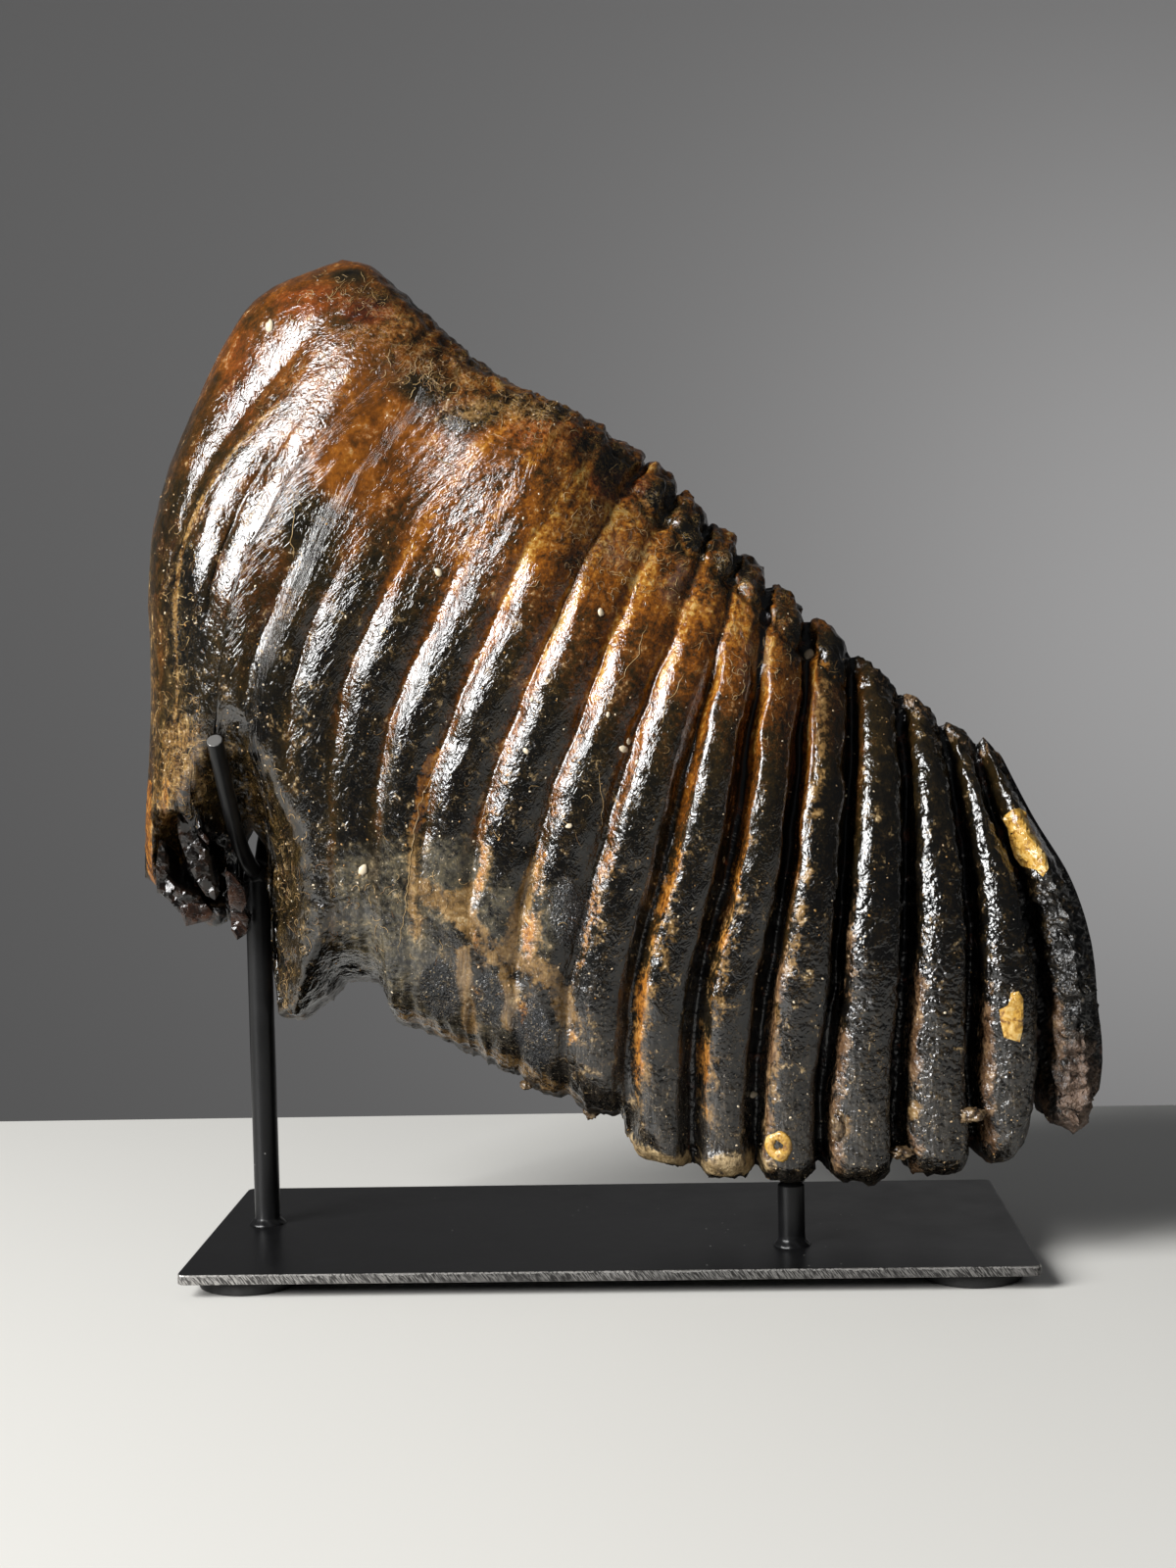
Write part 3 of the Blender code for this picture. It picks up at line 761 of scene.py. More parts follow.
places = column_places()
lines = plate_lines(places)
loops = np.stack([section_loop(place, line) for place, line in zip(places, lines)])
body = loops[:, :, :3].copy()
level, above_foot, below_crown, side = (loops[:, :, k] for k in range(3, 7))
columns, around = level.shape
place_grid = np.repeat(places[:, None], around, axis=1)
furrow = furrow_share(place_grid)
flank = (place_grid - np.floor(place_grid) - 0.5) * 2
tooth_x, tooth_z = body[:, :, 0].copy(), body[:, :, 2].copy()
front_side = (side < 0).astype(float)
# A lane runs along its plate: millimetres across the plates, along them and over the crown.
middle_depth = read_table(MIDDLE_DEPTHS, place_grid)
over_crown = 40 * np.tanh((body[:, :, 1] - middle_depth) / 6) - 20 + body[:, :, 1] * 0.3
lane = np.stack([place_grid * PLATE_SPACING, above_foot, over_crown], axis=2)

# Pulp pits in the underside of the open plates.
half_here = (body[:, :, 1].max(axis=1) - body[:, :, 1].min(axis=1))[:, None] / 2
low = body[:, :, 2] - np.array([line[0, 1] for line in lines])[:, None]
pit_reach = np.hypot(furrow / 0.8, (body[:, :, 1] - middle_depth) / (0.72 * half_here))
pitted = fade(pit_reach, 0.55, 1.0) * fade(low, 2, 8) * (place_grid > 11)
body[:, :, 2] += PIT_DEPTH * pitted

# Stains painted on the tooth: (x, z, half width, half height) in millimetres, and the strength.
STAINS = {
    "amber": [
        (-71, 234, 11, 12, 1.0), (-59, 246, 12, 10, 0.8), (-68, 255, 11, 8, 0.6),
        (-7, 214, 20, 18, 0.55), (-85, 262, 10, 9, 0.5), (0, 218, 11, 11, 0.8),
        (14, 205, 12, 9, 0.5), (-52, 216, 18, 16, 0.4), (-34, 127, 3.5, 7, 1.0),
        (-137, 188, 7, 62, 1.3), (-108, 272, 24, 8, 0.4),
    ],
    "red": [
        (-66, 281, 9, 6, 0.9), (-106, 262, 9, 24, 0.45), (-83, 285, 16, 7, 0.6),
        (-46, 235, 32, 28, 0.22), (-12, 243, 20, 7, 0.5), (-105, 199, 22, 18, 0.3),
        (8, 228, 12, 6, 0.7), (-128, 205, 8, 30, 0.35),
    ],
    "dark": [
        (-82, 214, 9, 16, 0.6), (-48, 257, 10, 6, 0.8), (-36, 248, 10, 5, 0.8),
        (3, 239, 8, 7, 0.9), (-121, 195, 7, 20, 0.7), (-73, 294, 6, 3, 1.0), (-64, 286, 7, 5, 0.5),
        (-99, 160, 7, 6, 0.8), (-24, 253, 11, 6, 0.5),
    ],
    # Haze: bloom in the varnish and a painted reflection of the pale table, low on the root end.
    "haze_and_sheen": [
        (-64, 112, 18, 16, 0.6), (-44, 112, 18, 15, 0.85), (-24, 101, 18, 15, 0.75),
        (-62, 92, 18, 18, 0.7), (-88, 108, 10, 22, 0.2), (-42, 72, 26, 15, 0.6),
    ],
    "slate": [
        (-48, 79, 6.5, 11, 1.0), (-33.5, 77, 5.5, 10, 1.0), (-20.5, 66, 7, 13, 1.0),
        (-9, 102, 7, 13, 0.6),
    ],
    "gilt": [
        (-126, 148, 12, 20, 0.9), (-94, 112, 8, 24, 0.3), (-135, 128, 6, 22, 1.0),
        (-98, 84, 6, 14, 0.35), (-24, 250, 22, 6, 0.8), (-55, 276, 22, 7, 0.6),
        (-104, 135, 9, 18, 0.6), (0, 216, 14, 14, 0.5), (-128, 190, 8, 24, 0.35),
        (-138, 186, 5, 55, 0.7),
    ],
    # Painted shade: the root hollow and the recess by the second root are painted black, mixed
    # with the hollow's own dark red.
    "hollow_shade_and_red": [(-125, 112, 11.5, 22, 1.0), (-129, 106, 10, 14, 1.0), (-77, 78, 8, 6, 0.5)],
    "mauve": [
        (25, 199, 6, 8, 1.0), (47, 174, 5, 8, 1.0), (10, 208, 9, 7, 0.6), (62, 160, 5, 9, 0.7),
    ],
    "tan": [(141, 44, 13, 26, 0.85), (-96, 279, 3.5, 3, 0.8)],
    "block": [
        (9, 231, 9, 9, 0.8), (21, 223, 8, 8, 1.0), (31, 213, 8, 8, 1.0), (42, 202, 8, 8, 0.8),
        (52, 192, 7, 9, 0.7), (62, 183, 7, 9, 0.7), (72, 176, 7, 8, 0.7), (-10, 250, 8, 4, 0.5),
    ],
}
# Streaks painted along lines: (half width, strength, points), in millimetres.
STREAKS = {
    "gilt": [
        (0.9, 1.2, [
            (-124, 191), (-123, 200), (-119, 216), (-116, 225), (-111, 233), (-106, 240),
            (-99, 248), (-92, 253),
        ]),
        (0.8, 0.9, [(-124, 191), (-126, 170), (-127, 158)]),
        (0.7, 0.8, [(-104, 213), (-100, 221), (-94, 229), (-90, 234)]),
        (0.7, 0.9, [(-54, 95), (-54, 112), (-53, 131)]),
    ],
    "orange": [
        (1.7, 1.0, [(-134, 128), (-133, 134), (-131, 142)]),
        (2.4, 1.2, [(-141, 140), (-141.5, 124), (-141, 110)]),
        (1.9, 1.0, [(-47, 150), (-50, 141), (-52, 132), (-53, 128)]),
    ],
    "ochre": [
        (3.4, 0.9, [
            (-54, 111), (-47, 107), (-42, 106), (-36, 97), (-30, 91), (-22, 88), (-13, 83),
            (-9, 72),
        ]),
        (2.8, 0.9, [(-18, 115), (-23, 104), (-26, 95), (-27, 88), (-27, 69)]),
        (2.2, 0.8, [(-37, 110), (-43, 103)]),
        (2.2, 1.1, [(-40, 91), (-40, 78), (-40, 66)]),
        (1.8, 0.7, [(-53, 131), (-54, 112), (-54, 98)]),
        (3.0, 0.7, [(-60, 70), (-44, 60), (-26, 54), (-10, 44)]),
        (2.8, 0.6, [(68, 167), (66, 150), (62.5, 130)]),
        (1.6, 0.5, [(62.5, 130), (60, 110), (57, 93), (50.3, 72.6)]),
        (2.0, 0.75, [(50.3, 72.6), (49.3, 52.3), (47.9, 38)]),
        (1.8, 0.7, [(91, 43.6), (89, 40)]),
        (1.8, 0.8, [(70.3, 40), (69, 34)]),
    ],
    "lip": [
        (2.3, 1.0, [(7.5, 31), (10.5, 29.8), (18, 28.8), (25.2, 26.4)]),
        (3.6, 1.0, [(31, 26.4), (38, 26.8), (45, 26.6)]),
    ],
}


def stained(name):
    """How strongly each point of the tooth is stained, by the patches and streaks of that name."""
    painted_on = np.zeros_like(tooth_x)
    for x, z, half_x, half_z, strength in STAINS.get(name, []):
        reach = np.hypot((tooth_x - x) / half_x, (tooth_z - z) / half_z)
        painted_on = np.maximum(painted_on, strength * fade(reach, 0.45, 1.25))
    for half, strength, points in STREAKS.get(name, []):
        for (ax, az), (bx, bz) in zip(points, points[1:]):
            length = math.hypot(bx - ax, bz - az)
            share = ((tooth_x - ax) * (bx - ax) + (tooth_z - az) * (bz - az)) / length**2
            share = np.clip(share, 0, 1)
            away = np.hypot(tooth_x - ax - share * (bx - ax), tooth_z - az - share * (bz - az))
            painted_on = np.maximum(painted_on, strength * fade(away / half, 0.4, 1.6))
    return painted_on


# Broad folds of the root end: (x, z, half width, half height, rise) in millimetres.
FOLDS = [
    (-80, 246, 16, 34, 2.4), (-48, 229, 14, 34, -2.5), (-16, 210, 18, 34, 1.4),
    (-84, 140, 16, 26, -0.8), (-116, 207, 26, 25, 3.6), (-88, 286, 26, 16, 2.0),
]
# Heights of the relief, in millimetres.
SWELLS = 0.55
RIB_LUMPS = 0.40
PEBBLED = 0.50
WRINKLED = 0.22
SLATE_PEBBLED = 0.45
ROUGH = 0.85
ROUGHER_AT_CROWN = 0.55
ROUGH_TOP = 0.5
FLAKY_FOOT = 0.80
ROUGH_HOLLOW = 3.0
BLOCK_GROOVE = 1.3
BLOCK_KNOBS = 1.6
BLOCK_RISE = 1.5
CRUMBS = 2.2
CRUMBLED_PEBBLES = 2.1
RING_DEPTH = 0.55
RING_PLACES = (7.0, 13.5)
LIP_RISE = 1.0
SUNK = 0.25

# Relief: broad swells, lumps that run along the plates, pebbled enamel and wrinkled varnish.
normals = grid_normals(body)
black_end = ease(place_grid, 12.5, 15.5)
lower = fade(above_foot, 20, 60)
swell = lumps(body, 24, 2, 1)
long_lumps = lumps(lane * np.array([1, 0.4, 1]), 6.5, 3, 2)
pebbles = lumps(body, 2.4, 3, 3)
wrinkles = lumps(lane * np.array([1, 0.33, 1]), 2.6, 3, 4)
rugged = lumps(body, 5.5, 4, 5)
flaky = lumps(body * np.array([0.7, 1, 2.2]), 5, 3, 7)
knobs = lumps(body, 7, 2, 9)
patchy = lumps(lane * np.array([1, 0.5, 1]), 7, 3, 8)
in_hollow = fade(np.hypot((tooth_x + 126) / 12, (tooth_z - 112) / 20), 0.8, 1.2) * front_side
crown_edge = fade(below_crown, 4, 17)
foot_edge = fade(above_foot, 3, 15)
gnarled = np.maximum(crown_edge, foot_edge) * ease(place_grid, 0.2, 1.5)
gnarled = np.maximum(gnarled, 0.30 * black_end)
rough_top = span(place_grid, 5.5, 7.5, 12, 14) * fade(below_crown, 16, 34)
gnarled = np.maximum(gnarled, 0.55 * rough_top)
relief = SWELLS * (swell - 0.4)
for fold_x, fold_z, half_x, half_z, rise in FOLDS:
    aside, upward = (tooth_x - fold_x) / half_x, (tooth_z - fold_z) / half_z
    relief += rise * np.exp(-(aside**2) - upward**2)
ribbing = (0.35 + 0.65 * ease(place_grid, 3, 9)) * (1 - 0.4 * black_end)
relief += RIB_LUMPS * (long_lumps - 0.3) * ribbing
relief += PEBBLED * (pebbles - 0.2) * np.maximum(black_end, 0.45 * lower)
relief += WRINKLED * wrinkles * (1 - black_end)
relief += SLATE_PEBBLED * (pebbles - 0.2) * stained("slate") * front_side
relief += (ROUGH + ROUGHER_AT_CROWN * crown_edge) * (rugged - 0.35) * gnarled
pebbly = np.maximum(rough_top, crown_edge * ease(place_grid, 0.5, 2))
relief += ROUGH_TOP * (pebbles - 0.2) * pebbly
relief += FLAKY_FOOT * (flaky - 0.4) * foot_edge * ease(place_grid, 11, 13)
relief += ROUGH_HOLLOW * (rugged - 0.35) * in_hollow
# Crown blocks of the middle plates, cut off from the ribs by a shallow groove.
blocky = span(place_grid, 7, 8.2, 13.2, 14.5)
block_groove = blocky * np.exp(-((below_crown - 10.5 - 4 * swell - 3 * knobs) / 1.8) ** 2)
relief -= BLOCK_GROOVE * block_groove
relief += BLOCK_KNOBS * (knobs - 0.2) * blocky * fade(below_crown, 9, 14)
relief += BLOCK_RISE * blocky * fade(below_crown, 8, 10) * (1 - furrow**4)
crumbled = ease(place_grid, 16.7, 17.3) * fade(tooth_z, 100, 116)
relief += crumbled * (CRUMBS * (rugged - 0.45) + CRUMBLED_PEBBLES * (pebbles - 0.3))
# Rings round the tips of the free plates.
ringed = ease(place_grid, 14, 14.6)
for ring_at in RING_PLACES:
    relief -= RING_DEPTH * ringed * np.exp(-((below_crown - ring_at - 3 * swell) / 1.3) ** 2)
lip = stained("lip") * front_side
relief += LIP_RISE * ease(lip, 0.15, 0.5) - SUNK
# The free plates end cleanly at the foot and the crown.
calmed = np.maximum(0.75 * fade(above_foot, 2, 9), 0.6 * fade(below_crown, 2, 8))
relief *= 1 - ease(place_grid, 15, 16) * calmed
thin = np.minimum(half_here / 4, 1)
loose = np.maximum(0.6 + 0.4 * ease(gripped(tooth_x, tooth_z), 14, 28), in_hollow)
body += normals * (relief * thin * loose)[:, :, None]
body[:, :, 0] += 0.8 * lumps(body, 13, 2, 6) * span(place_grid, 0.3, 2, 17.2, 17.9) * loose
# The front and the back meet in one narrow edge down each end.
up_front, up_back = np.linspace(0, 1, FRONT_POINTS + 1), np.linspace(0, 1, BACK_POINTS + 1)
for column in (body[0], body[-1]):
    rising = column[: FRONT_POINTS + 1].copy()
    falling = np.vstack([column[:1], column[: FRONT_POINTS - 1 : -1]])
    for axis in range(3):
        apart = LEAST_HALF_WIDTH if axis == 1 else 0
        met = (rising[:, axis] + np.interp(up_front, up_back, falling[:, axis])) / 2
        column[1:FRONT_POINTS, axis] = met[1:-1] - apart
        met = (falling[:, axis] + np.interp(up_back, up_front, rising[:, axis])) / 2
        column[FRONT_POINTS + 1 :, axis] = met[1:-1][::-1] + apart

# How far the cement over the plates is stained, with painted shade in the deepest furrows:
# 0 black enamel, 1 pale ochre.
upper = ease(level, 0.42, 0.9)
warmth = 0.28 + 0.30 * upper
warmth -= 0.33 * ease(place_grid, 12.8, 15.0)
warmth += 0.12 * ease(level, 0.5, 0.75) * span(place_grid, 6, 8, 12, 13.5)
warmth -= 0.14 * fade(level, 0.25, 0.6) * ease(place_grid, 6, 10)
crest_bare = (1 - furrow**1.5) * ease(place_grid, 2.5, 5) * fade(level, 0.60, 0.92)
warmth -= 0.26 * crest_bare * (1 - ease(place_grid, 13, 15) * 0.6)
seam = np.exp(-(((flank + 0.80) / 0.24) ** 2)) + 0.5 * np.exp(-(((flank - 0.95) / 0.12) ** 2))
seam *= ease(place_grid, 3, 6) * (1 - 0.75 * ease(place_grid, 13.2, 14.5))
warmth += 0.26 * seam * ease(above_foot, 12, 40) * (0.65 + 0.35 * ease(level, 0.2, 0.5))
# Painted shade: the bottoms of the furrows from the middle plates on are darkened.
warmth -= 0.34 * ease(furrow, 0.86, 1.0) * ease(place_grid, 8.5, 11)
warmth += 0.10 * stained("amber") - 0.34 * stained("dark") - 0.55 * stained("block")
warmth = np.clip(warmth, 0, 0.82)
worn_patches = np.clip(0.8 + 1.3 * patchy, 0.1, 1.3)
left_flank = np.exp(-(((flank + 0.72) / 0.28) ** 2))
halo = np.exp(-(((flank + 0.55) / 0.38) ** 2)) * span(place_grid, 7, 8.5, 12.6, 13.6)
halo = 0.62 * halo * ease(above_foot, 10, 30) * fade(level, 0.36, 0.6) * worn_patches
rusty = 0.85 * left_flank * span(place_grid, 7.2, 8.6, 12.6, 13.6)
rusty = rusty * ease(above_foot, 14, 34) * (1 - 0.6 * ease(level, 0.45, 0.75)) * worn_patches
flecked = left_flank * ease(place_grid, 12, 13.2) * (1 - 0.7 * ease(level, 0.3, 0.65))
flecked = flecked * np.clip(0.9 + 1.2 * patchy, 0.2, 1.4)
flecked = np.maximum(flecked, 0.7 * ringed * fade(below_crown, 3, 9))
crown_slope = fade(below_crown, 7, 24) * span(place_grid, 0.5, 2, 6.5, 8.5)
# Painted shade: the deep slots between the free plates are painted black, like the hollows.
shaded_slots = ease(furrow, 0.90, 0.98) * ease(place_grid, 11, 12.5)

# Four-sided faces between the columns, and a strip that closes each end.
faces = []
index = np.arange(columns * around).reshape(columns, around)
for c in range(columns - 1):
    here, there = index[c], index[c + 1]
    ring = np.column_stack([here, there, np.roll(there, -1), np.roll(here, -1)])
    faces.extend(map(tuple, ring.tolist()))
for c in (0, columns - 1):
    back_edge = [int(index[c][(around - k) % around]) for k in range(BACK_POINTS + 1)]
    for k in range(FRONT_POINTS):
        low, high = (back_edge[m * BACK_POINTS // FRONT_POINTS] for m in (k, k + 1))
        corners = tuple(dict.fromkeys([int(index[c][k]), int(index[c][k + 1]), high, low]))
        if len(corners) > 2:
            faces.append(corners if c == 0 else corners[::-1])
tooth_shift = np.array([PLATE_MIDDLE.x / MM, PLATE_MIDDLE.y / MM, PLATE_TOP / MM])
low_corner, high_corner = (np.array(corner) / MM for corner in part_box("tooth"))
surface = np.clip(body + tooth_shift, low_corner, high_corner)
marks = {
    "lane": lane,
    "warmth": warmth,
    "rusty": rusty,
    "flecked": flecked,
    "red": stained("red"),
    "haze_and_sheen": stained("haze_and_sheen"),
    "slate": stained("slate"),
    "gilt": stained("gilt"),
    "fibrous": np.maximum.reduce([crown_slope, 0.7 * stained("gilt"), 0.55 * rough_top]),
    "orange": np.maximum(stained("orange"), 0.8 * block_groove),
    "ochre": np.maximum(stained("ochre"), halo),
    "hollow_shade_and_red": np.maximum(stained("hollow_shade_and_red") * front_side, shaded_slots),
    "mauve": stained("mauve"),
    "tan": stained("tan"),
    "lip": lip,
    "wrinkled": upper * fade(place_grid, 6, 9),
    "calm": np.clip(stained("amber") + 0.7 * stained("dark"), 0, 1) * fade(place_grid, 8, 10),
    "pebbled": np.maximum(black_end * (1 - 0.5 * ease(level, 0.35, 0.7)), 0.6 * lower),
    "dulled": fade(above_foot, 22, 66) * ease(place_grid, 5, 8),
    "foot": fade(above_foot, 2, 6),
    "gritty": span(place_grid, 3, 6, 13, 14.5) * ease(level, 0.25, 0.45),
    "crumbled": crumbled,
}
molar_mesh = shaped("molar", surface.reshape(-1, 3) * MM, faces, **marks)

# Tones from dark to pale, each with its place on the scale.
ENAMEL_TONES = [
    (0.00, (0.0030, 0.0026, 0.0022, 1)),
    (0.18, (0.0060, 0.0048, 0.0030, 1)),
    (0.32, (0.0160, 0.0100, 0.0034, 1)),
    (0.46, (0.0420, 0.0170, 0.0040, 1)),
    (0.60, (0.1000, 0.0310, 0.0045, 1)),
    (0.76, (0.2100, 0.0660, 0.0065, 1)),
    (0.90, (0.3400, 0.1450, 0.0180, 1)),
    (1.00, (0.4600, 0.2700, 0.0700, 1)),
]
RED_TONES = [
    (0.00, (0.0050, 0.0030, 0.0025, 1)),
    (0.30, (0.0240, 0.0065, 0.0030, 1)),
    (0.55, (0.0850, 0.0190, 0.0045, 1)),
    (0.80, (0.2500, 0.0560, 0.0090, 1)),
    (1.00, (0.4000, 0.1300, 0.0300, 1)),
]
RUST_TONES = [
    (0.34, (0.0180, 0.0080, 0.0040, 1)),
    (0.44, (0.0900, 0.0300, 0.0060, 1)),
    (0.54, (0.2800, 0.1000, 0.0120, 1)),
    (0.66, (0.4600, 0.2200, 0.0400, 1)),
]
FLECK_TONES = [
    (0.36, (0.0200, 0.0110, 0.0060, 1)),
    (0.50, (0.1100, 0.0580, 0.0280, 1)),
    (0.64, (0.2600, 0.1600, 0.0850, 1)),
]
# Pale haze tones, partly a painted reflection of the pale table.
HAZE_AND_SHEEN_TONES = [
    (0.34, (0.0160, 0.0145, 0.0120, 1)),
    (0.45, (0.0560, 0.0500, 0.0360, 1)),
    (0.55, (0.1050, 0.0880, 0.0540, 1)),
    (0.68, (0.2200, 0.1750, 0.0950, 1)),
]
LIP_TONES = [
    (0.34, (0.0240, 0.0140, 0.0080, 1)),
    (0.48, (0.2400, 0.1600, 0.0700, 1)),
    (0.62, (0.4600, 0.3400, 0.1800, 1)),
]
SLATE_DARK = (0.0120, 0.0130, 0.0145, 1)
GILT_THREAD = (0.400, 0.240, 0.065, 1)
GILT_TONES = [
    (0.36, (0.0140, 0.0080, 0.0040, 1)),
    (0.46, (0.1100, 0.0480, 0.0110, 1)),
    (0.57, (0.3000, 0.1650, 0.0480, 1)),
    (0.68, (0.5600, 0.4200, 0.2100, 1)),
]
OCHRE_TONES = [
    (0.35, (0.0450, 0.0270, 0.0120, 1)),
    (0.47, (0.1300, 0.0720, 0.0240, 1)),
    (0.58, (0.2600, 0.1500, 0.0520, 1)),
    (0.69, (0.4400, 0.3100, 0.1500, 1)),
]
# Painted shade for the hollows and the slots, and the hollow's own dark red.
HOLLOW_SHADE_BLACK = (0.0030, 0.0025, 0.0025, 1)
HOLLOW_RED = (0.090, 0.026, 0.010, 1)
MAUVE_BROWN = (0.090, 0.050, 0.040, 1)
BONE_TAN = (0.150, 0.088, 0.055, 1)
WEATHERED_GREY = (0.050, 0.043, 0.035, 1)
SPECK_CREAM = (0.260, 0.200, 0.120, 1)


def tone_scale(value, tones):
    """The colour for a value from 0 to 1, between the tones on either side of it."""
    made = tree_of(value).nodes.new("ShaderNodeValToRGB")
    ramp = made.color_ramp
    while len(ramp.elements) < len(tones):
        ramp.elements.new(0.5)
    for element, (at, colour) in zip(ramp.elements, tones):
        element.position = at
        element.color = colour
    value.id_data.links.new(value, made.inputs[0])
    return made.outputs[0]


def less(value):
    """What the value leaves of 1."""
    return maths("SUBTRACT", 1.0, value)


def swing(value, amount):
    """A value from 0 to 1, made to swing about 0 by the amount."""
    return product(maths("SUBTRACT", value, 0.5), amount)


def off_middle(value):
    """How far a value from 0 to 1 is from 0.5."""
    return maths("ABSOLUTE", maths("SUBTRACT", value, 0.5))


def threads(place, size, width, seed):
    """Thin wandering lines: the places where a noise passes through its middle value."""
    shift = {0: place, 1: (seed, seed * 0.7, seed * 1.3)}
    moved = add_node(tree_of(place), "ShaderNodeVectorMath", shift, operation="ADD").outputs[0]
    away = off_middle(mottle(moved, size, 4, 0.62, 0.6))
    return less(edge_of(away, width * 0.35, width))


def varnished_enamel():
    """Black enamel under stained cement, haze with painted sheen, gilt and grit, all below a thick
    clear varnish.
    """
    made, tree, shader, place = new_finish("varnished_enamel")
    (
        warm, red, mauve, haze_and_sheen, slate, ochre, dulled, gilt, fibrous, hollow_shade_and_red, tan, lip, foot,
        crumbly, gritty, pebbled, wrinkled, calm,
    ) = (
        painted(tree, name)
        for name in (
            "warmth", "red", "mauve", "haze_and_sheen", "slate", "ochre", "dulled", "gilt", "fibrous",
            "hollow_shade_and_red", "tan", "lip", "foot", "crumbled", "gritty", "pebbled", "wrinkled", "calm",
        )
    )
    lane_mm = painted(tree, "lane", vector=True)
    broad = mottle(place, 16, 3, 0.55, 0.4)
    middling = mottle(place, 5.0, 4, 0.55, 0.5)
    fine = mottle(place, 1.5, 3, 0.65, 0.3)
    streaks = mottle(stretched(lane_mm, (MM, MM * 0.16, MM * 0.3)), 2.2, 3, 0.5)
    striation = mottle(stretched(lane_mm, (MM, MM * 0.10, MM * 0.2)), 1.0, 3, 0.6)
    speckled = total(product(middling, 0.5), product(fine, 0.5))

    # The stained cement, thinner over the black enamel.
    stir = total(swing(broad, 0.60), swing(middling, 0.60), swing(fine, 0.50))
    stir = total(stir, swing(streaks, 0.30), product(swing(fine, 0.55), gritty))
    tone = total(warm, product(stir, total(product(warm, 1.1), 0.28, product(fibrous, 0.5))))
    colour = tone_scale(tone, ENAMEL_TONES)
    red_edge = total(red, swing(middling, 1.1), swing(fine, 0.5))
    colour = blend(edge_of(red_edge, 0.15, 0.85), colour, tone_scale(tone, RED_TONES))
    colour = blend(product(mauve, edge_of(middling, 0.38, 0.6), 0.7), colour, MAUVE_BROWN)

    # The pale haze, which is bloom in the varnish and also a painted reflection of the pale table,
    # the ochre seams, the slate ovals and the enamel that lies bare and dull.
    haze_and_sheen_edge = total(haze_and_sheen, swing(broad, 0.7), swing(middling, 0.8), swing(fine, 0.9))
    haze_and_sheen = edge_of(haze_and_sheen_edge, 0.12, 0.95)
    colour = blend(product(haze_and_sheen, 0.78), colour, tone_scale(speckled, HAZE_AND_SHEEN_TONES))
    slate_edge = total(slate, swing(middling, 0.9), swing(fine, 0.5), swing(broad, 0.4))
    slate = edge_of(slate_edge, 0.2, 0.65)
    ochre_edge = total(ochre, swing(middling, 1.9), swing(fine, 1.5), swing(broad, 0.6))
    ochre = product(edge_of(ochre_edge, 0.22, 0.85), 0.88)
    colour = blend(ochre, colour, tone_scale(speckled, OCHRE_TONES))
    colour = blend(product(slate, 0.92), colour, SLATE_DARK)
    worn = total(product(dulled, 0.5), swing(fine, 1.6), swing(striation, 2.2))
    worn = total(worn, swing(middling, 0.5))
    bare = product(dulled, less(slate))
    colour = blend(product(edge_of(worn, 0.10, 1.0), bare, 0.62), colour, WEATHERED_GREY)
    specks = edge_of(mottle(place, 0.8, 2, 0.5), 0.63, 0.70)
    speck_share = total(product(dulled, 0.55), product(haze_and_sheen, 0.5), product(gritty, 0.15))
    colour = blend(product(specks, speck_share), colour, SPECK_CREAM)

    # Crusts that stand a little proud: (mark, tones, share, where the edge starts).
    crusts = (
        ("orange", RUST_TONES, 0.90, 0.40), ("rusty", RUST_TONES, 0.85, 0.45),
        ("flecked", FLECK_TONES, 0.85, 0.52), ("lip", LIP_TONES, 0.95, 0.25),
    )
    crust = 0.0
    for mark, tones, share, starts in crusts:
        edge = total(painted(tree, mark), swing(middling, 1.5), swing(fine, 1.5))
        shown = product(edge_of(edge, starts, starts + 0.6), share)
        colour = blend(shown, colour, tone_scale(speckled, tones))
        crust = maths("MAXIMUM", crust, shown)

    # Gilt and threads in the varnish, painted shade in the hollows and the slots between the free
    # plates mixed with the hollow's own dark red, and the tan of the worn ends.
    thread = maths("MAXIMUM", threads(place, 4.0, 0.016, 0.0), threads(place, 2.2, 0.022, 0.05))
    thread_share = total(product(fibrous, 0.6), 0.05)
    thread_share = product(thread, thread_share, edge_of(middling, 0.35, 0.6))
    gilt_share = edge_of(total(gilt, swing(middling, 0.9), swing(fine, 1.3)), 0.45, 1.25)
    colour = blend(product(gilt_share, 0.65), colour, tone_scale(speckled, GILT_TONES))
    colour = blend(thread_share, colour, GILT_THREAD)
    hollow_shade_and_red_colour = blend(edge_of(middling, 0.56, 0.76), HOLLOW_SHADE_BLACK, HOLLOW_RED)
    hollow_shade_and_red = edge_of(total(hollow_shade_and_red, swing(middling, 0.3)), 0.25, 0.55)
    colour = blend(hollow_shade_and_red, colour, hollow_shade_and_red_colour)
    tan = edge_of(total(tan, swing(middling, 1.1), swing(fine, 0.9)), 0.4, 1.0)
    foot_tan = product(foot, edge_of(total(middling, swing(fine, 0.4)), 0.48, 0.66), 0.5)
    tan = product(maths("MAXIMUM", tan, foot_tan), 0.7)
    colour = blend(tan, colour, BONE_TAN)

    rough = total(
        product(middling, 0.10), 0.06, product(haze_and_sheen, 0.12), product(tan, 0.3), product(bare, 0.10),
        product(foot, 0.25), product(crumbly, 0.22), product(pebbled, 0.03),
        product(fibrous, 0.04), product(lip, 0.3),
    )

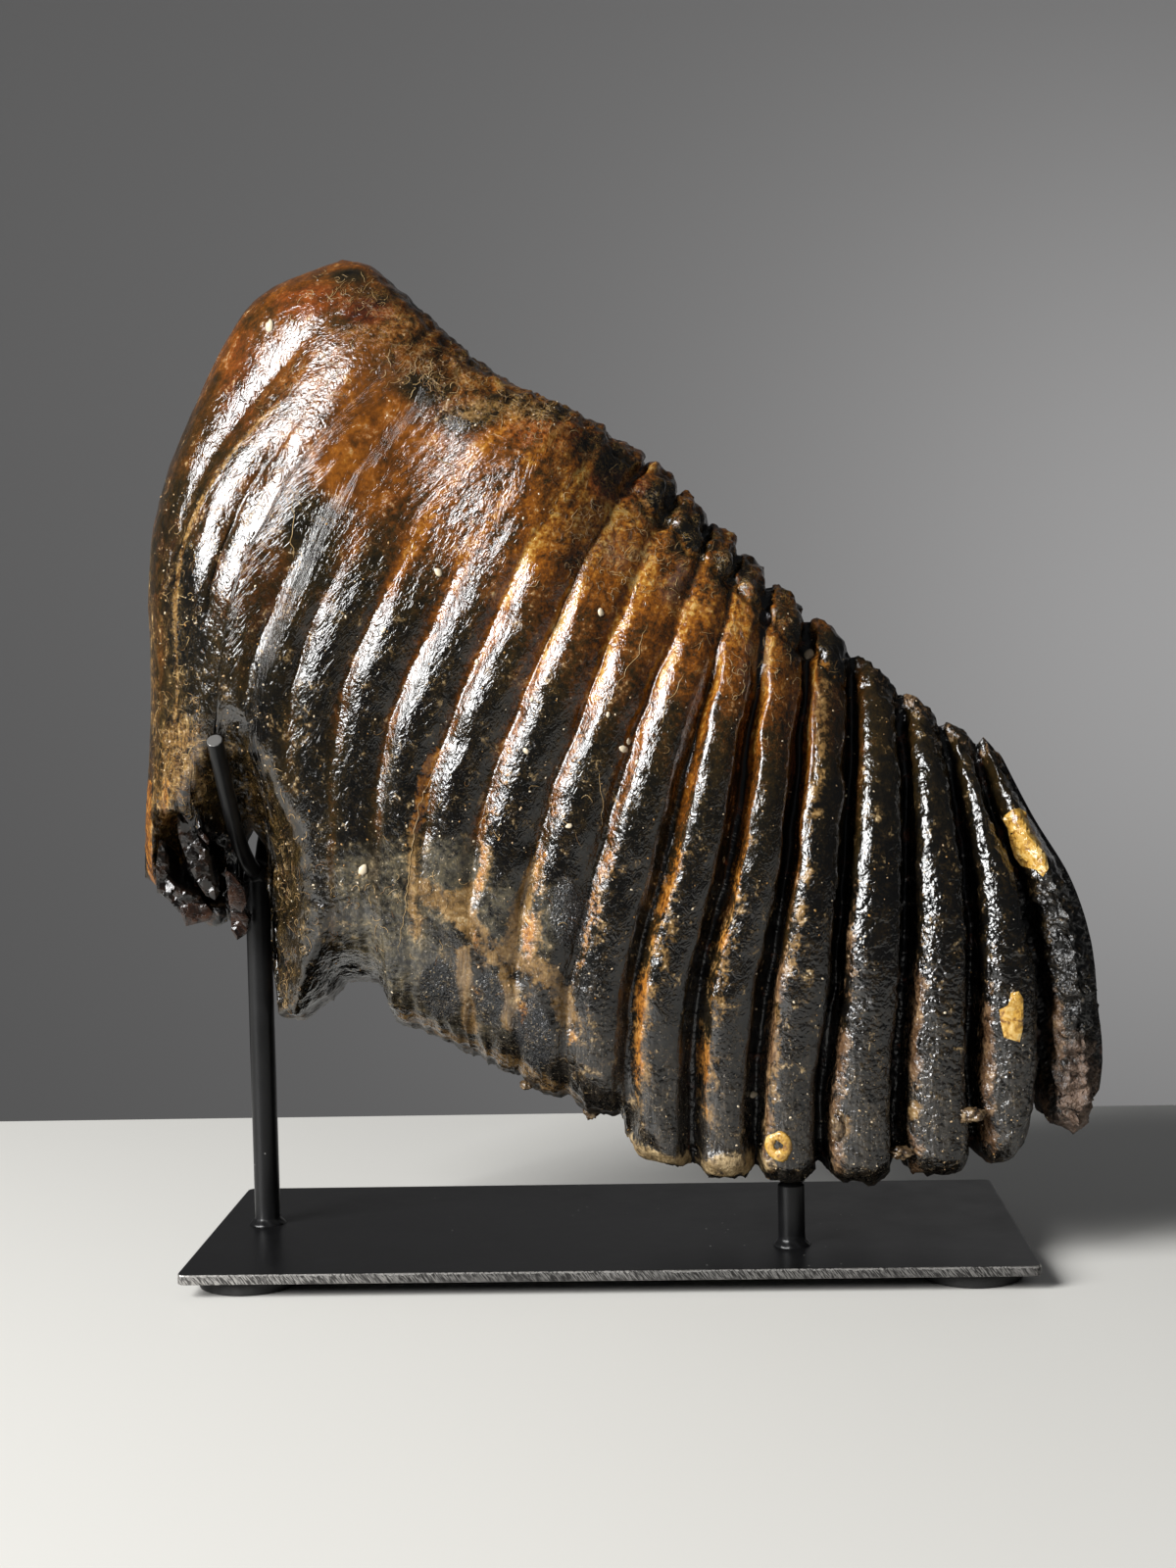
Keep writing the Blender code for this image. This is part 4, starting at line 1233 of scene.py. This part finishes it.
    # Wrinkled varnish, grains and striation, each with its height in millimetres.
    smooth = product(less(pebbled), less(product(dulled, 0.7)))
    restless = less(product(calm, 0.75))
    wrinkle_place = stretched(lane_mm, (MM, MM * 0.6, MM * 0.6))
    crease = off_middle(mottle(wrinkle_place, 1.9, 2, 0.5, 0.9))
    fold = off_middle(mottle(wrinkle_place, 0.85, 2, 0.5, 0.6))
    lump = mottle(place, 2.8, 2, 0.45, 0.5)
    grains = cells(place, 1.4)
    height = total(
        product(crease, smooth, restless, total(product(wrinkled, 0.26), 0.36)),
        product(fold, smooth, restless, total(product(wrinkled, 0.11), 0.04)),
        product(fold, slate, 1.5),
        product(fine, crust, 0.16),
        product(lump, total(pebbled, crumbly), 0.9),
        product(middling, 0.16),
        product(fine, 0.05),
        product(grains, grains, total(pebbled, crumbly), -0.28),
        product(fine, maths("MAXIMUM", product(pebbled, 0.6), fibrous), 0.22),
        product(fine, crumbly, 0.30),
        product(fine, gritty, 0.05),
        product(striation, bare, 0.34),
        product(specks, bare, 0.10),
        product(thread_share, 0.08),
    )
    set_inputs(shader, height, Base_Color=colour, Roughness=rough, IOR=1.62)
    return made


new_piece(molar_mesh, varnished_enamel(), "tooth", "tooth")

# === Tooth: broken places ======================================================================
# Where the black enamel has chipped off, honey-coloured dentine shows as crisp glassy facets. Thin
# shards of the broken root wall stand in the open hollow. Varnish holds them all in place.
skin = BVHTree.FromPolygons([Vector(p) for p in (surface - tooth_shift).reshape(-1, 3)], faces)
# With a seed of its own, the noise that tilts facets and sways fibres is the same each run.
noise.seed_set(7)


def on_front(x, z):
    """The point on the tooth's front at (x, z) millimetres, with the way out, or nothing."""
    hit, way, _, _ = skin.ray_cast(Vector((x, -200, z)), Vector((0, 1, 0)))
    if hit is None:
        return None
    return hit, (way if way.y < 0 else -way)


def tooth_points(points):
    """The points, in millimetres on the tooth, where they are in the scene."""
    return [(np.array(point) + tooth_shift) * MM for point in points]


def sides_of(outline):
    """Each side of a closed outline, as its two ends."""
    return list(zip(outline, outline[1:] + outline[:1]))


def split_line(start, end, step):
    """Points from the start to just before the end, about a step apart."""
    count = max(1, int(math.hypot(end[0] - start[0], end[1] - start[1]) / step))
    return [
        (start[0] + (end[0] - start[0]) * k / count, start[1] + (end[1] - start[1]) * k / count)
        for k in range(count)
    ]


def inlaid(outline, rise, step, facets, seed, depth=None):
    """A faceted patch in an outline on the front, or a shard standing at its own depth."""
    low = np.min(outline, axis=0)
    high = np.max(outline, axis=0)

    def inside(x, z):
        crossings = 0
        for (ax, az), (bx, bz) in sides_of(outline):
            if (az > z) != (bz > z) and x < ax + (z - az) / (bz - az) * (bx - ax):
                crossings += 1
        return crossings % 2 == 1

    def to_edge(x, z):
        place = Vector((x, z))
        gaps = []
        for a, b in sides_of([Vector(corner) for corner in outline]):
            share = min(max((place - a).dot(b - a) / max((b - a).length_squared, 1e-9), 0), 1)
            gaps.append((place - a - share * (b - a)).length)
        return min(gaps)

    flat = [Vector(spot) for side in sides_of(outline) for spot in split_line(*side, step)]
    rim_count = len(flat)
    edges = [(k, (k + 1) % rim_count) for k in range(rim_count)]
    for x in np.arange(low[0] + step / 2, high[0], step):
        for z in np.arange(low[1] + step / 2, high[1], step):
            wobble = noise.noise_vector(Vector((x * 1.7, z * 1.7, seed))) * step * 0.35
            x_here, z_here = x + wobble.x, z + wobble.y
            if inside(x_here, z_here) and to_edge(x_here, z_here) > step * 0.45:
                flat.append(Vector((x_here, z_here)))
    flat, _, flat_faces, _, _, _ = delaunay_2d_cdt(flat, edges, [], 1, 1e-4)
    points = []
    for x, z in flat:
        cell = noise.voronoi(Vector((x, z, seed * 5.0)) / facets)[1][0]
        tilt = noise.noise_vector(cell * 7.3)
        tilted = tilt.x * (x / facets - cell.x) + tilt.y * (z / facets - cell.y)
        lift = max(rise * (1 + tilted), 0.1) if to_edge(x, z) > step * 0.3 else rise * 0.55
        found = on_front(x, z)
        if depth is not None:
            points.append(Vector((x, depth - lift, z)))
        elif found:
            hit, way = found
            points.append(hit + Vector((way.x * 0.4, way.y, way.z * 0.4)) * lift)
        else:
            points.append(Vector((x, points[-1].y if points else -20, z)))
    if depth is None:
        deepest = float(np.median([point.y for point in points])) + 4
        points = [Vector((point.x, min(point.y, deepest), point.z)) for point in points]
    middle = sum(points[:rim_count], Vector()) / rim_count
    taper, sunk = CHIP_ROOT if depth is None else SHARD_ROOT
    made = [tuple(face) for face in flat_faces]
    for k in range(rim_count):
        root = middle + (points[k] - middle) * taper
        points.append(Vector((root.x, points[k].y + sunk, root.z)))
        n, base = (k + 1) % rim_count, len(flat)
        made.append((k, n, base + n, base + k))
    if depth is not None:
        made.append(tuple(len(flat) + k for k in range(rim_count)))
    return points, made


# Outlines of the two big chips: (x, z) in millimetres.
CHIPS = {
    "upper_chip": [
        (121.3, 127.1), (123.0, 128.7), (125.3, 129.0), (127.2, 127.7), (128.1, 124.1),
        (130.6, 120.1), (132.0, 116.2), (132.3, 111.6), (130.5, 109.2), (128.9, 111.1),
        (125.7, 111.8), (123.8, 114.4), (122.9, 117.7), (122.0, 122.9), (120.6, 125.6),
    ],
    "lower_chip": [
        (116.0, 71.4), (118.4, 72.8), (119.4, 76.4), (121.6, 76.8), (122.8, 74.6), (122.6, 66.4),
        (121.6, 62.0), (117.2, 63.3), (116.3, 67.8),
    ],
}
# How a rim runs back into the tooth: (share of its size there, how deep) for chips and shards.
CHIP_ROOT = (1.0, 1.4)
SHARD_ROOT = (0.6, 12)
# Shards and ribs in the hollow: (depth, rise, outline) in millimetres.
SHARDS = {
    "tall_shard": (-13, 0.7, [
        (-115.6, 114.6), (-113.6, 113.4), (-110, 108.8), (-109.2, 104), (-110.8, 101.4),
        (-114.6, 103.6),
    ]),
    "low_shard": (-11, 0.7, [
        (-115.0, 105.4), (-111.0, 102.6), (-109.2, 99), (-110, 94.4), (-112.9, 92.6),
        (-114.6, 95.6), (-114.6, 100.1),
    ]),
    "wedge_shard": (-12, 0.6, [
        (-130.6, 103.2), (-127, 104.4), (-122, 104), (-119.9, 101.2), (-120.8, 99), (-128.4, 97.3),
        (-129.6, 100.6),
    ]),
    "ridge_shard": (-17.5, 0.4, [
        (-128.6, 134.2), (-126.6, 133.4), (-122.8, 128.9), (-119.2, 124), (-119.6, 122.6),
        (-122.6, 126.0), (-125.8, 130.0),
    ]),
    "inner_rib": (-13.5, 2.4, [
        (-129.6, 132), (-127.2, 131.5), (-123.0, 126.5), (-120.2, 121), (-118.8, 113),
        (-117.2, 107.5), (-118.6, 105.5), (-121.5, 107), (-124.6, 112), (-126.6, 117),
        (-129.2, 125),
    ]),
    "wall_rib": (-9, 2.0, [
        (-136.4, 124), (-134.4, 123), (-133.6, 118), (-133.4, 112), (-129, 108.5), (-124, 106),
        (-121, 101), (-127, 100.2), (-131, 101.4), (-134.4, 105.6), (-137.6, 107.6), (-137.8, 115),
    ]),
}
DENTINE_HONEY = (0.480, 0.270, 0.050, 1)
DENTINE_PALE = (0.620, 0.450, 0.180, 1)
DENTINE_BROWN = (0.160, 0.070, 0.015, 1)
SHARD_BROWN = (0.017, 0.008, 0.005, 1)
SHARD_PALE = (0.040, 0.020, 0.012, 1)
SHARD_DARK = (0.005, 0.0035, 0.003, 1)
WALL_SHADE = (0.0030, 0.0025, 0.0022, 1)
WALL_BLACK = (0.0050, 0.0036, 0.0028, 1)
WALL_BROWN = (0.018, 0.009, 0.005, 1)
BONE_PALE = (0.230, 0.160, 0.085, 1)
BONE_CREAM = (0.110, 0.068, 0.034, 1)
BONE_SHADE = (0.016, 0.010, 0.007, 1)


def chipped(name, dark, middle, pale, size):
    """A glassy broken face in three tones, with blotches about size millimetres wide."""
    made, _, shader, place = new_finish(name)
    cloud = mottle(place, size, 4, 0.6, 0.6)
    grain = mottle(place, 0.8, 3, 0.6)
    tones = [(0.34, dark), (0.5, middle), (0.68, pale)]
    colour = tone_scale(total(cloud, swing(grain, 0.4)), tones)
    rough = total(product(grain, 0.12), 0.06)
    height = total(product(cloud, 0.3), product(grain, 0.12))
    set_inputs(shader, height, Base_Color=colour, Roughness=rough, IOR=1.52)
    return made


def broken_piece(name, outline, rise, step, facets, seed, finish, depth=None):
    points, made = inlaid(outline, rise, step, facets, seed, depth)
    new_piece(shaped(name, tooth_points(points), made, 18), finish, "tooth")


dentine = chipped("chipped_dentine", DENTINE_BROWN, DENTINE_HONEY, DENTINE_PALE, 3.2)
for seed, (name, outline) in enumerate(CHIPS.items()):
    broken_piece(name, outline, 0.55, 0.8, 2.6, seed, dentine)
foot_bone = chipped("foot_bone", BONE_SHADE, BONE_CREAM, BONE_PALE, 2.2)

# A round scar with a dark middle near the foot: a lumpy ring, bent round its middle at (x, z).
SCAR_AT = (50.9, 33.2)
SCAR_RADIUS = 2.6
SCAR_AROUND, SCAR_TUBE = 24, 8
points, made = [], []
for ring in range(SCAR_AROUND):
    turn = 2 * math.pi * ring / SCAR_AROUND
    for k in range(SCAR_TUBE):
        roll = 2 * math.pi * k / SCAR_TUBE
        wide = 1.55 + 0.9 * noise.noise(Vector((math.cos(turn) * 1.3, math.sin(turn) * 1.3, 3.1)))
        wide += 0.25 * noise.noise(Vector((math.cos(turn) * 3, math.sin(turn) * 3, k * 0.8)))
        reach = SCAR_RADIUS + wide * math.cos(roll)
        x, z = SCAR_AT[0] + reach * math.cos(turn), SCAR_AT[1] + reach * math.sin(turn) * 1.08
        hit, way = on_front(x, z)
        points.append(hit + way * (0.1 + 0.45 * wide * math.sin(roll)))
        here, after = ring * SCAR_TUBE, (ring + 1) % SCAR_AROUND * SCAR_TUBE
        n = (k + 1) % SCAR_TUBE
        made.append((here + k, here + n, after + n, after + k))
new_piece(shaped("round_scar", tooth_points(points), made), dentine, "tooth")

# Sand set hard between two plates, and crumbs at their feet: (x, z, half width, half height, half
# depth) in millimetres.
BRIDGES = {
    "sand_bridge": (107.4, 40.8, 4.4, 2.0, 3.0), "low_bridge": (87, 29.5, 3.4, 1.8, 2.6),
    "flank_lump": (68.6, 38.5, 2.0, 4.6, 1.6), "rim_knob": (-5.1, 37.4, 2.2, 2.0, 1.8),
    "rim_crumb": (-24.5, 46.6, 1.9, 1.5, 1.6),
}


def ball(subdivisions):
    """The points and faces of a round ball with radius 1."""
    made = bmesh.new()
    bmesh.ops.create_icosphere(made, subdivisions=subdivisions, radius=1)
    points = [vert.co.copy() for vert in made.verts]
    faces = [tuple(vert.index for vert in face.verts) for face in made.faces]
    made.free()
    return points, faces


for seed, (name, (x, z, half_x, half_z, half_y)) in enumerate(BRIDGES.items()):
    sides = [side for side in (on_front(x - half_x, z), on_front(x + half_x, z)) if side]
    middle = Vector((x, min(side[0].y for side in sides) + half_y * 0.7, z))
    points, made = ball(4)
    for k, point in enumerate(points):
        shift = Vector((seed * 9, 0, 4))
        point = point * (1 + 0.38 * noise.fractal(point * 1.9 + shift, 0.8, 2.0, 4))
        points[k] = middle + Vector((point.x * half_x, point.y * half_y, point.z * half_z))
    new_piece(shaped(name, tooth_points(points), made), foot_bone, "tooth")
root_wall = chipped("broken_root_wall", SHARD_DARK, SHARD_BROWN, SHARD_PALE, 3.0)
inner_wall = chipped("inner_root_wall", WALL_SHADE, WALL_BLACK, WALL_BROWN, 4.0)
for seed, (name, (depth, rise, outline)) in enumerate(SHARDS.items()):
    finish = inner_wall if rise > 1 else root_wall
    broken_piece(name, outline, rise, 0.9, 3.4, seed + 5, finish, depth)

# === Tooth: fibres and grit ====================================================================
# Gold-coloured rootlets lie in the varnish over the root end, and pale sand grains are stuck all
# over the front. Both are real bits that stand a fraction of a millimetre proud.
# Patches of fibres: (x, z, half width, half height, how many).
FIBRE_PATCHES = [
    (-127, 148, 10, 22, 150), (-95, 112, 8, 26, 110), (-98, 80, 6, 14, 40), (-40, 264, 30, 7, 190),
    (-12, 250, 16, 6, 110), (-72, 288, 14, 8, 70), (0, 214, 14, 14, 80), (-122, 190, 9, 40, 60),
    (-84, 262, 16, 14, 70), (-10, 120, 60, 40, 24), (12, 203, 22, 16, 130), (48, 172, 20, 18, 90),
    (-60, 108, 22, 16, 40),
]
FIBRE_STEPS = 9
# Long single rootlets, as points (x, z) in millimetres.
LONG_FIBRES = [
    [(16, 186.1), (14.3, 182.8), (13.5, 177.5), (9.4, 172.3), (5.9, 167)],
    [(26, 171.2), (24, 166.6), (20.8, 162), (19.7, 156.1)],
    [(0.8, 143.1), (2, 135.1), (1.1, 127.1)],
    [(-35, 128.5), (-31.6, 131.8), (-32.2, 135.8)],
    [(-87.3, 224.3), (-87, 218.3), (-88, 213), (-86.8, 207.6)],
    [(-49, 241.9), (-44.5, 237.1), (-40.6, 233), (-38.7, 227.7)],
    [(-28.5, 258.3), (-25.8, 254.2), (-20.3, 252.7), (-14.1, 253.8), (-12.1, 249.7), (-15, 244.3)],
    [(-59, 90), (-53, 130), (-51.5, 136.6), (-45.9, 149.7)],
]
FIBRE_GOLD = (0.460, 0.310, 0.140, 1)
FIBRE_BROWN = (0.130, 0.060, 0.018, 1)
# Patches of grit: (x, z, half width, half height, how many).
GRIT_PATCHES = [
    (-70, 170, 65, 60, 260), (-115, 185, 18, 45, 120), (-30, 255, 30, 10, 60),
    (-110, 120, 22, 30, 70), (-60, 105, 45, 30, 110), (30, 120, 60, 55, 140),
    (90, 80, 45, 60, 120), (60, 30, 70, 16, 120), (60, 175, 40, 20, 60),
]
# Single big grains: (x, z, radius).
BIG_GRAINS = [
    (-44.8, 202.6, 0.95), (2.3, 189.7, 0.9), (64, 176, 1.5), (-69, 116, 1.2), (-96.5, 279, 1.4),
    (-34, 176, 0.7), (-20, 150, 0.7), (4, 160, 0.6), (-61, 186, 0.6), (8, 150, 1.0),
    (9.6, 152, 0.7), (12, 146, 0.6), (-8, 128, 0.7), (-18, 165, 0.6), (44, 46, 1.0),
]
GRIT_CREAM = (0.620, 0.520, 0.370, 1)
GRIT_AMBER = (0.330, 0.170, 0.045, 1)
draw = np.random.default_rng(7)


def stuck_on(name, light, dark, bump):
    """Fine bits under the varnish, each somewhere between the light tone and the dark one."""
    made, tree, shader, place = new_finish(name)
    cloud = mottle(place, 1.5, 3, 0.6)
    share = total(painted(tree, "each"), swing(cloud, 0.8))
    colour = blend(edge_of(share, 0.1, 0.9), dark, light)
    rough = total(product(cloud, 0.2), 0.12)
    set_inputs(shader, product(cloud, bump), Base_Color=colour, Roughness=rough)
    return made


points, made, each = [], [], []


def lay_fibre(path, thick, shade):
    """A thin three-sided strand along points (x, z) on the tooth's front."""
    ring_starts = []
    for step, (x, z) in enumerate(path):
        found = on_front(x, z)
        if not found or found[1].y > -0.35 or found[0].y > 5:
            break
        hit, way = found
        ahead, behind = path[min(step + 1, len(path) - 1)], path[max(step - 1, 0)]
        along = Vector((ahead[0] - behind[0], 0, ahead[1] - behind[1]))
        across = way.cross(along).normalized()
        size = thick * math.sin(math.pi * (step + 0.6) / (len(path) + 0.2)) ** 0.5
        ring_starts.append(len(points))
        for turn in (0.5, 2.6, 4.7):
            aside = across * math.cos(turn) + way * math.sin(turn)
            points.append(hit + way * 0.12 + size * aside)
            each.append(shade)
    for low_ring, high_ring in zip(ring_starts, ring_starts[1:]):
        for k in range(3):
            n = (k + 1) % 3
            made.append((low_ring + k, low_ring + n, high_ring + n, high_ring + k))
    if len(ring_starts) > 1:
        made.append(tuple(ring_starts[0] + k for k in (2, 1, 0)))
        made.append(tuple(ring_starts[-1] + k for k in (0, 1, 2)))


for patch_x, patch_z, half_x, half_z, count in FIBRE_PATCHES:
    for _ in range(count):
        x = patch_x + half_x * float(np.clip(draw.normal() * 0.5, -1.3, 1.3))
        z = patch_z + half_z * float(np.clip(draw.normal() * 0.5, -1.3, 1.3))
        heading = draw.uniform(0, 2 * math.pi)
        curl = draw.normal() * 0.30
        stride = draw.uniform(0.28, 0.62)
        path = []
        for step in range(FIBRE_STEPS):
            path.append((x, z))
            heading += curl + draw.normal() * 0.42
            x += stride * math.cos(heading)
            z += stride * math.sin(heading)
        lay_fibre(path, draw.uniform(0.06, 0.10), draw.uniform(0, 1))
for corners in LONG_FIBRES:
    path = []
    for start, end in zip(corners, corners[1:]):
        for x, z in split_line(start, end, 0.7):
            sway = noise.noise_vector(Vector((x * 0.35, z * 0.35, 2.0)))
            path.append((x + 1.1 * sway.x, z + 1.1 * sway.y))
    lay_fibre(path, 0.09, 0.95)
fibre_mesh = shaped("gold_fibres", tooth_points(points), made, each=each)
new_piece(fibre_mesh, stuck_on("gold_fibre", FIBRE_GOLD, FIBRE_BROWN, 0.05), "tooth")

grain_points, grain_faces = ball(2)
grains = [(x, z, radius, 1.0) for x, z, radius in BIG_GRAINS]
for patch_x, patch_z, half_x, half_z, count in GRIT_PATCHES:
    for _ in range(count):
        x = patch_x + half_x * draw.uniform(-1, 1)
        z = patch_z + half_z * draw.uniform(-1, 1)
        grains.append((x, z, 0.12 + 0.20 * draw.uniform(0, 1) ** 3, draw.uniform(0, 1)))
points, made, each = [], [], []
for x, z, radius, shade in grains:
    found = on_front(x, z)
    if not found or found[1].y > -0.2:
        continue
    hit, way = found
    shift = Vector((x, z, 3.0))
    long_way = Vector((math.cos(shift.x * 9), 0, math.sin(shift.x * 9)))
    made += [tuple(len(points) + k for k in face) for face in grain_faces]
    for point in grain_points:
        reach = radius * (1 + 0.45 * noise.noise(point * 1.6 + shift))
        flat = point - way * 0.5 * point.dot(way) + long_way * 0.45 * point.dot(long_way)
        points.append(hit + way * radius * 0.2 + flat * reach)
        each.append(shade)
grit_mesh = shaped("stuck_grit", tooth_points(points), made, each=each)
new_piece(grit_mesh, stuck_on("sand_grit", GRIT_CREAM, GRIT_AMBER, 0.08), "tooth")

# === Table, wall, light and camera =============================================================
# A plain pale table top against a plain grey wall, lit by one large soft window light from the
# left. None of it belongs to the object.
TABLE_BACK = 210 * MM
TABLE_FRONT = -500 * MM
TABLE_THICK = 30 * MM
TABLE_REACH = 1.6
WALL_AT = 1.7
WALL_THICK = 50 * MM
TABLE_PALE = (0.66, 0.65, 0.615, 1)
WALL_GREY = (0.090, 0.089, 0.089, 1)
ROOM_TINT = (0.9, 0.95, 1.0, 1)
ROOM_LIGHT = 0.07
# Lights: (where it stands, what it faces, width, height, watts).
LIGHTS = {
    "window": ((-1.32, -1.03, 1.05), (0, 0, 0.16), 0.95, 1.05, 84),
    "wall_wash": ((0.70, 0.86, 0.22), (0.58, WALL_AT, 0.16), 0.4, 0.6, 21.5),
}
CAMERA_AT = (0.022808, -0.672435, 0.177897)
CAMERA_YAW, CAMERA_PITCH, CAMERA_ROLL = (math.radians(a) for a in (-2.56168, 2.77878, -1.31818))
FILM_WIDTH = 36
LENS_LENGTH = 49.93


def plain_finish(name, colour, roughness):
    made, _, shader, _ = new_finish(name)
    set_inputs(shader, Base_Color=colour, Roughness=roughness)
    return made


def stage_box(name, low, high, finish):
    """A plain box of the room, between two corners."""
    xs, ys, zs = zip(low, high)
    corners = [(x, y, z) for x in xs for y in ys for z in zs]
    faces = [(0, 1, 3, 2), (4, 6, 7, 5), (0, 4, 5, 1), (2, 3, 7, 6), (0, 2, 6, 4), (1, 5, 7, 3)]
    mesh = bpy.data.meshes.new(name)
    mesh.from_pydata(corners, [], faces)
    mesh.materials.append(finish)
    obj = in_scene(name, mesh)


table_low, table_high = (-TABLE_REACH, TABLE_FRONT, -TABLE_THICK), (TABLE_REACH, TABLE_BACK, 0)
wall_low, wall_high = (-4, WALL_AT, -2), (4, WALL_AT + WALL_THICK, 4)
stage_box("table_top", table_low, table_high, plain_finish("pale_table", TABLE_PALE, 0.45))
stage_box("wall", wall_low, wall_high, plain_finish("grey_wall", WALL_GREY, 0.9))

for name, (at, towards, width, height, watts) in LIGHTS.items():
    lamp = bpy.data.lights.new(name, "AREA")
    lamp.shape = "RECTANGLE"
    lamp.size = width
    lamp.size_y = height
    lamp.energy = watts
    light = in_scene(name, lamp)
    light.location = at
    light.rotation_euler = (Vector(towards) - Vector(at)).to_track_quat("-Z", "Y").to_euler()
    light.visible_camera = False

room = bpy.data.worlds.new("room")
bpy.context.scene.world = room
room.use_nodes = True
room.node_tree.nodes["Background"].inputs[0].default_value = ROOM_TINT
room.node_tree.nodes["Background"].inputs[1].default_value = ROOM_LIGHT
bpy.context.scene.view_settings.view_transform = "Standard"

ahead = Vector((
    math.sin(CAMERA_YAW) * math.cos(CAMERA_PITCH),
    math.cos(CAMERA_YAW) * math.cos(CAMERA_PITCH),
    -math.sin(CAMERA_PITCH),
))
level_right = Vector((math.cos(CAMERA_YAW), -math.sin(CAMERA_YAW), 0))
level_up = level_right.cross(ahead)
right = level_right * math.cos(CAMERA_ROLL) + level_up * math.sin(CAMERA_ROLL)
up = level_up * math.cos(CAMERA_ROLL) - level_right * math.sin(CAMERA_ROLL)
lens = bpy.data.cameras.new("camera")
lens.sensor_width = FILM_WIDTH
lens.lens = LENS_LENGTH
lens.clip_start = 0.01
camera = in_scene("camera", lens)
turn = np.eye(4)
turn[:3, 0], turn[:3, 1], turn[:3, 2], turn[:3, 3] = right, up, -ahead, CAMERA_AT
camera.matrix_world = Matrix(turn.tolist())
bpy.context.scene.camera = camera
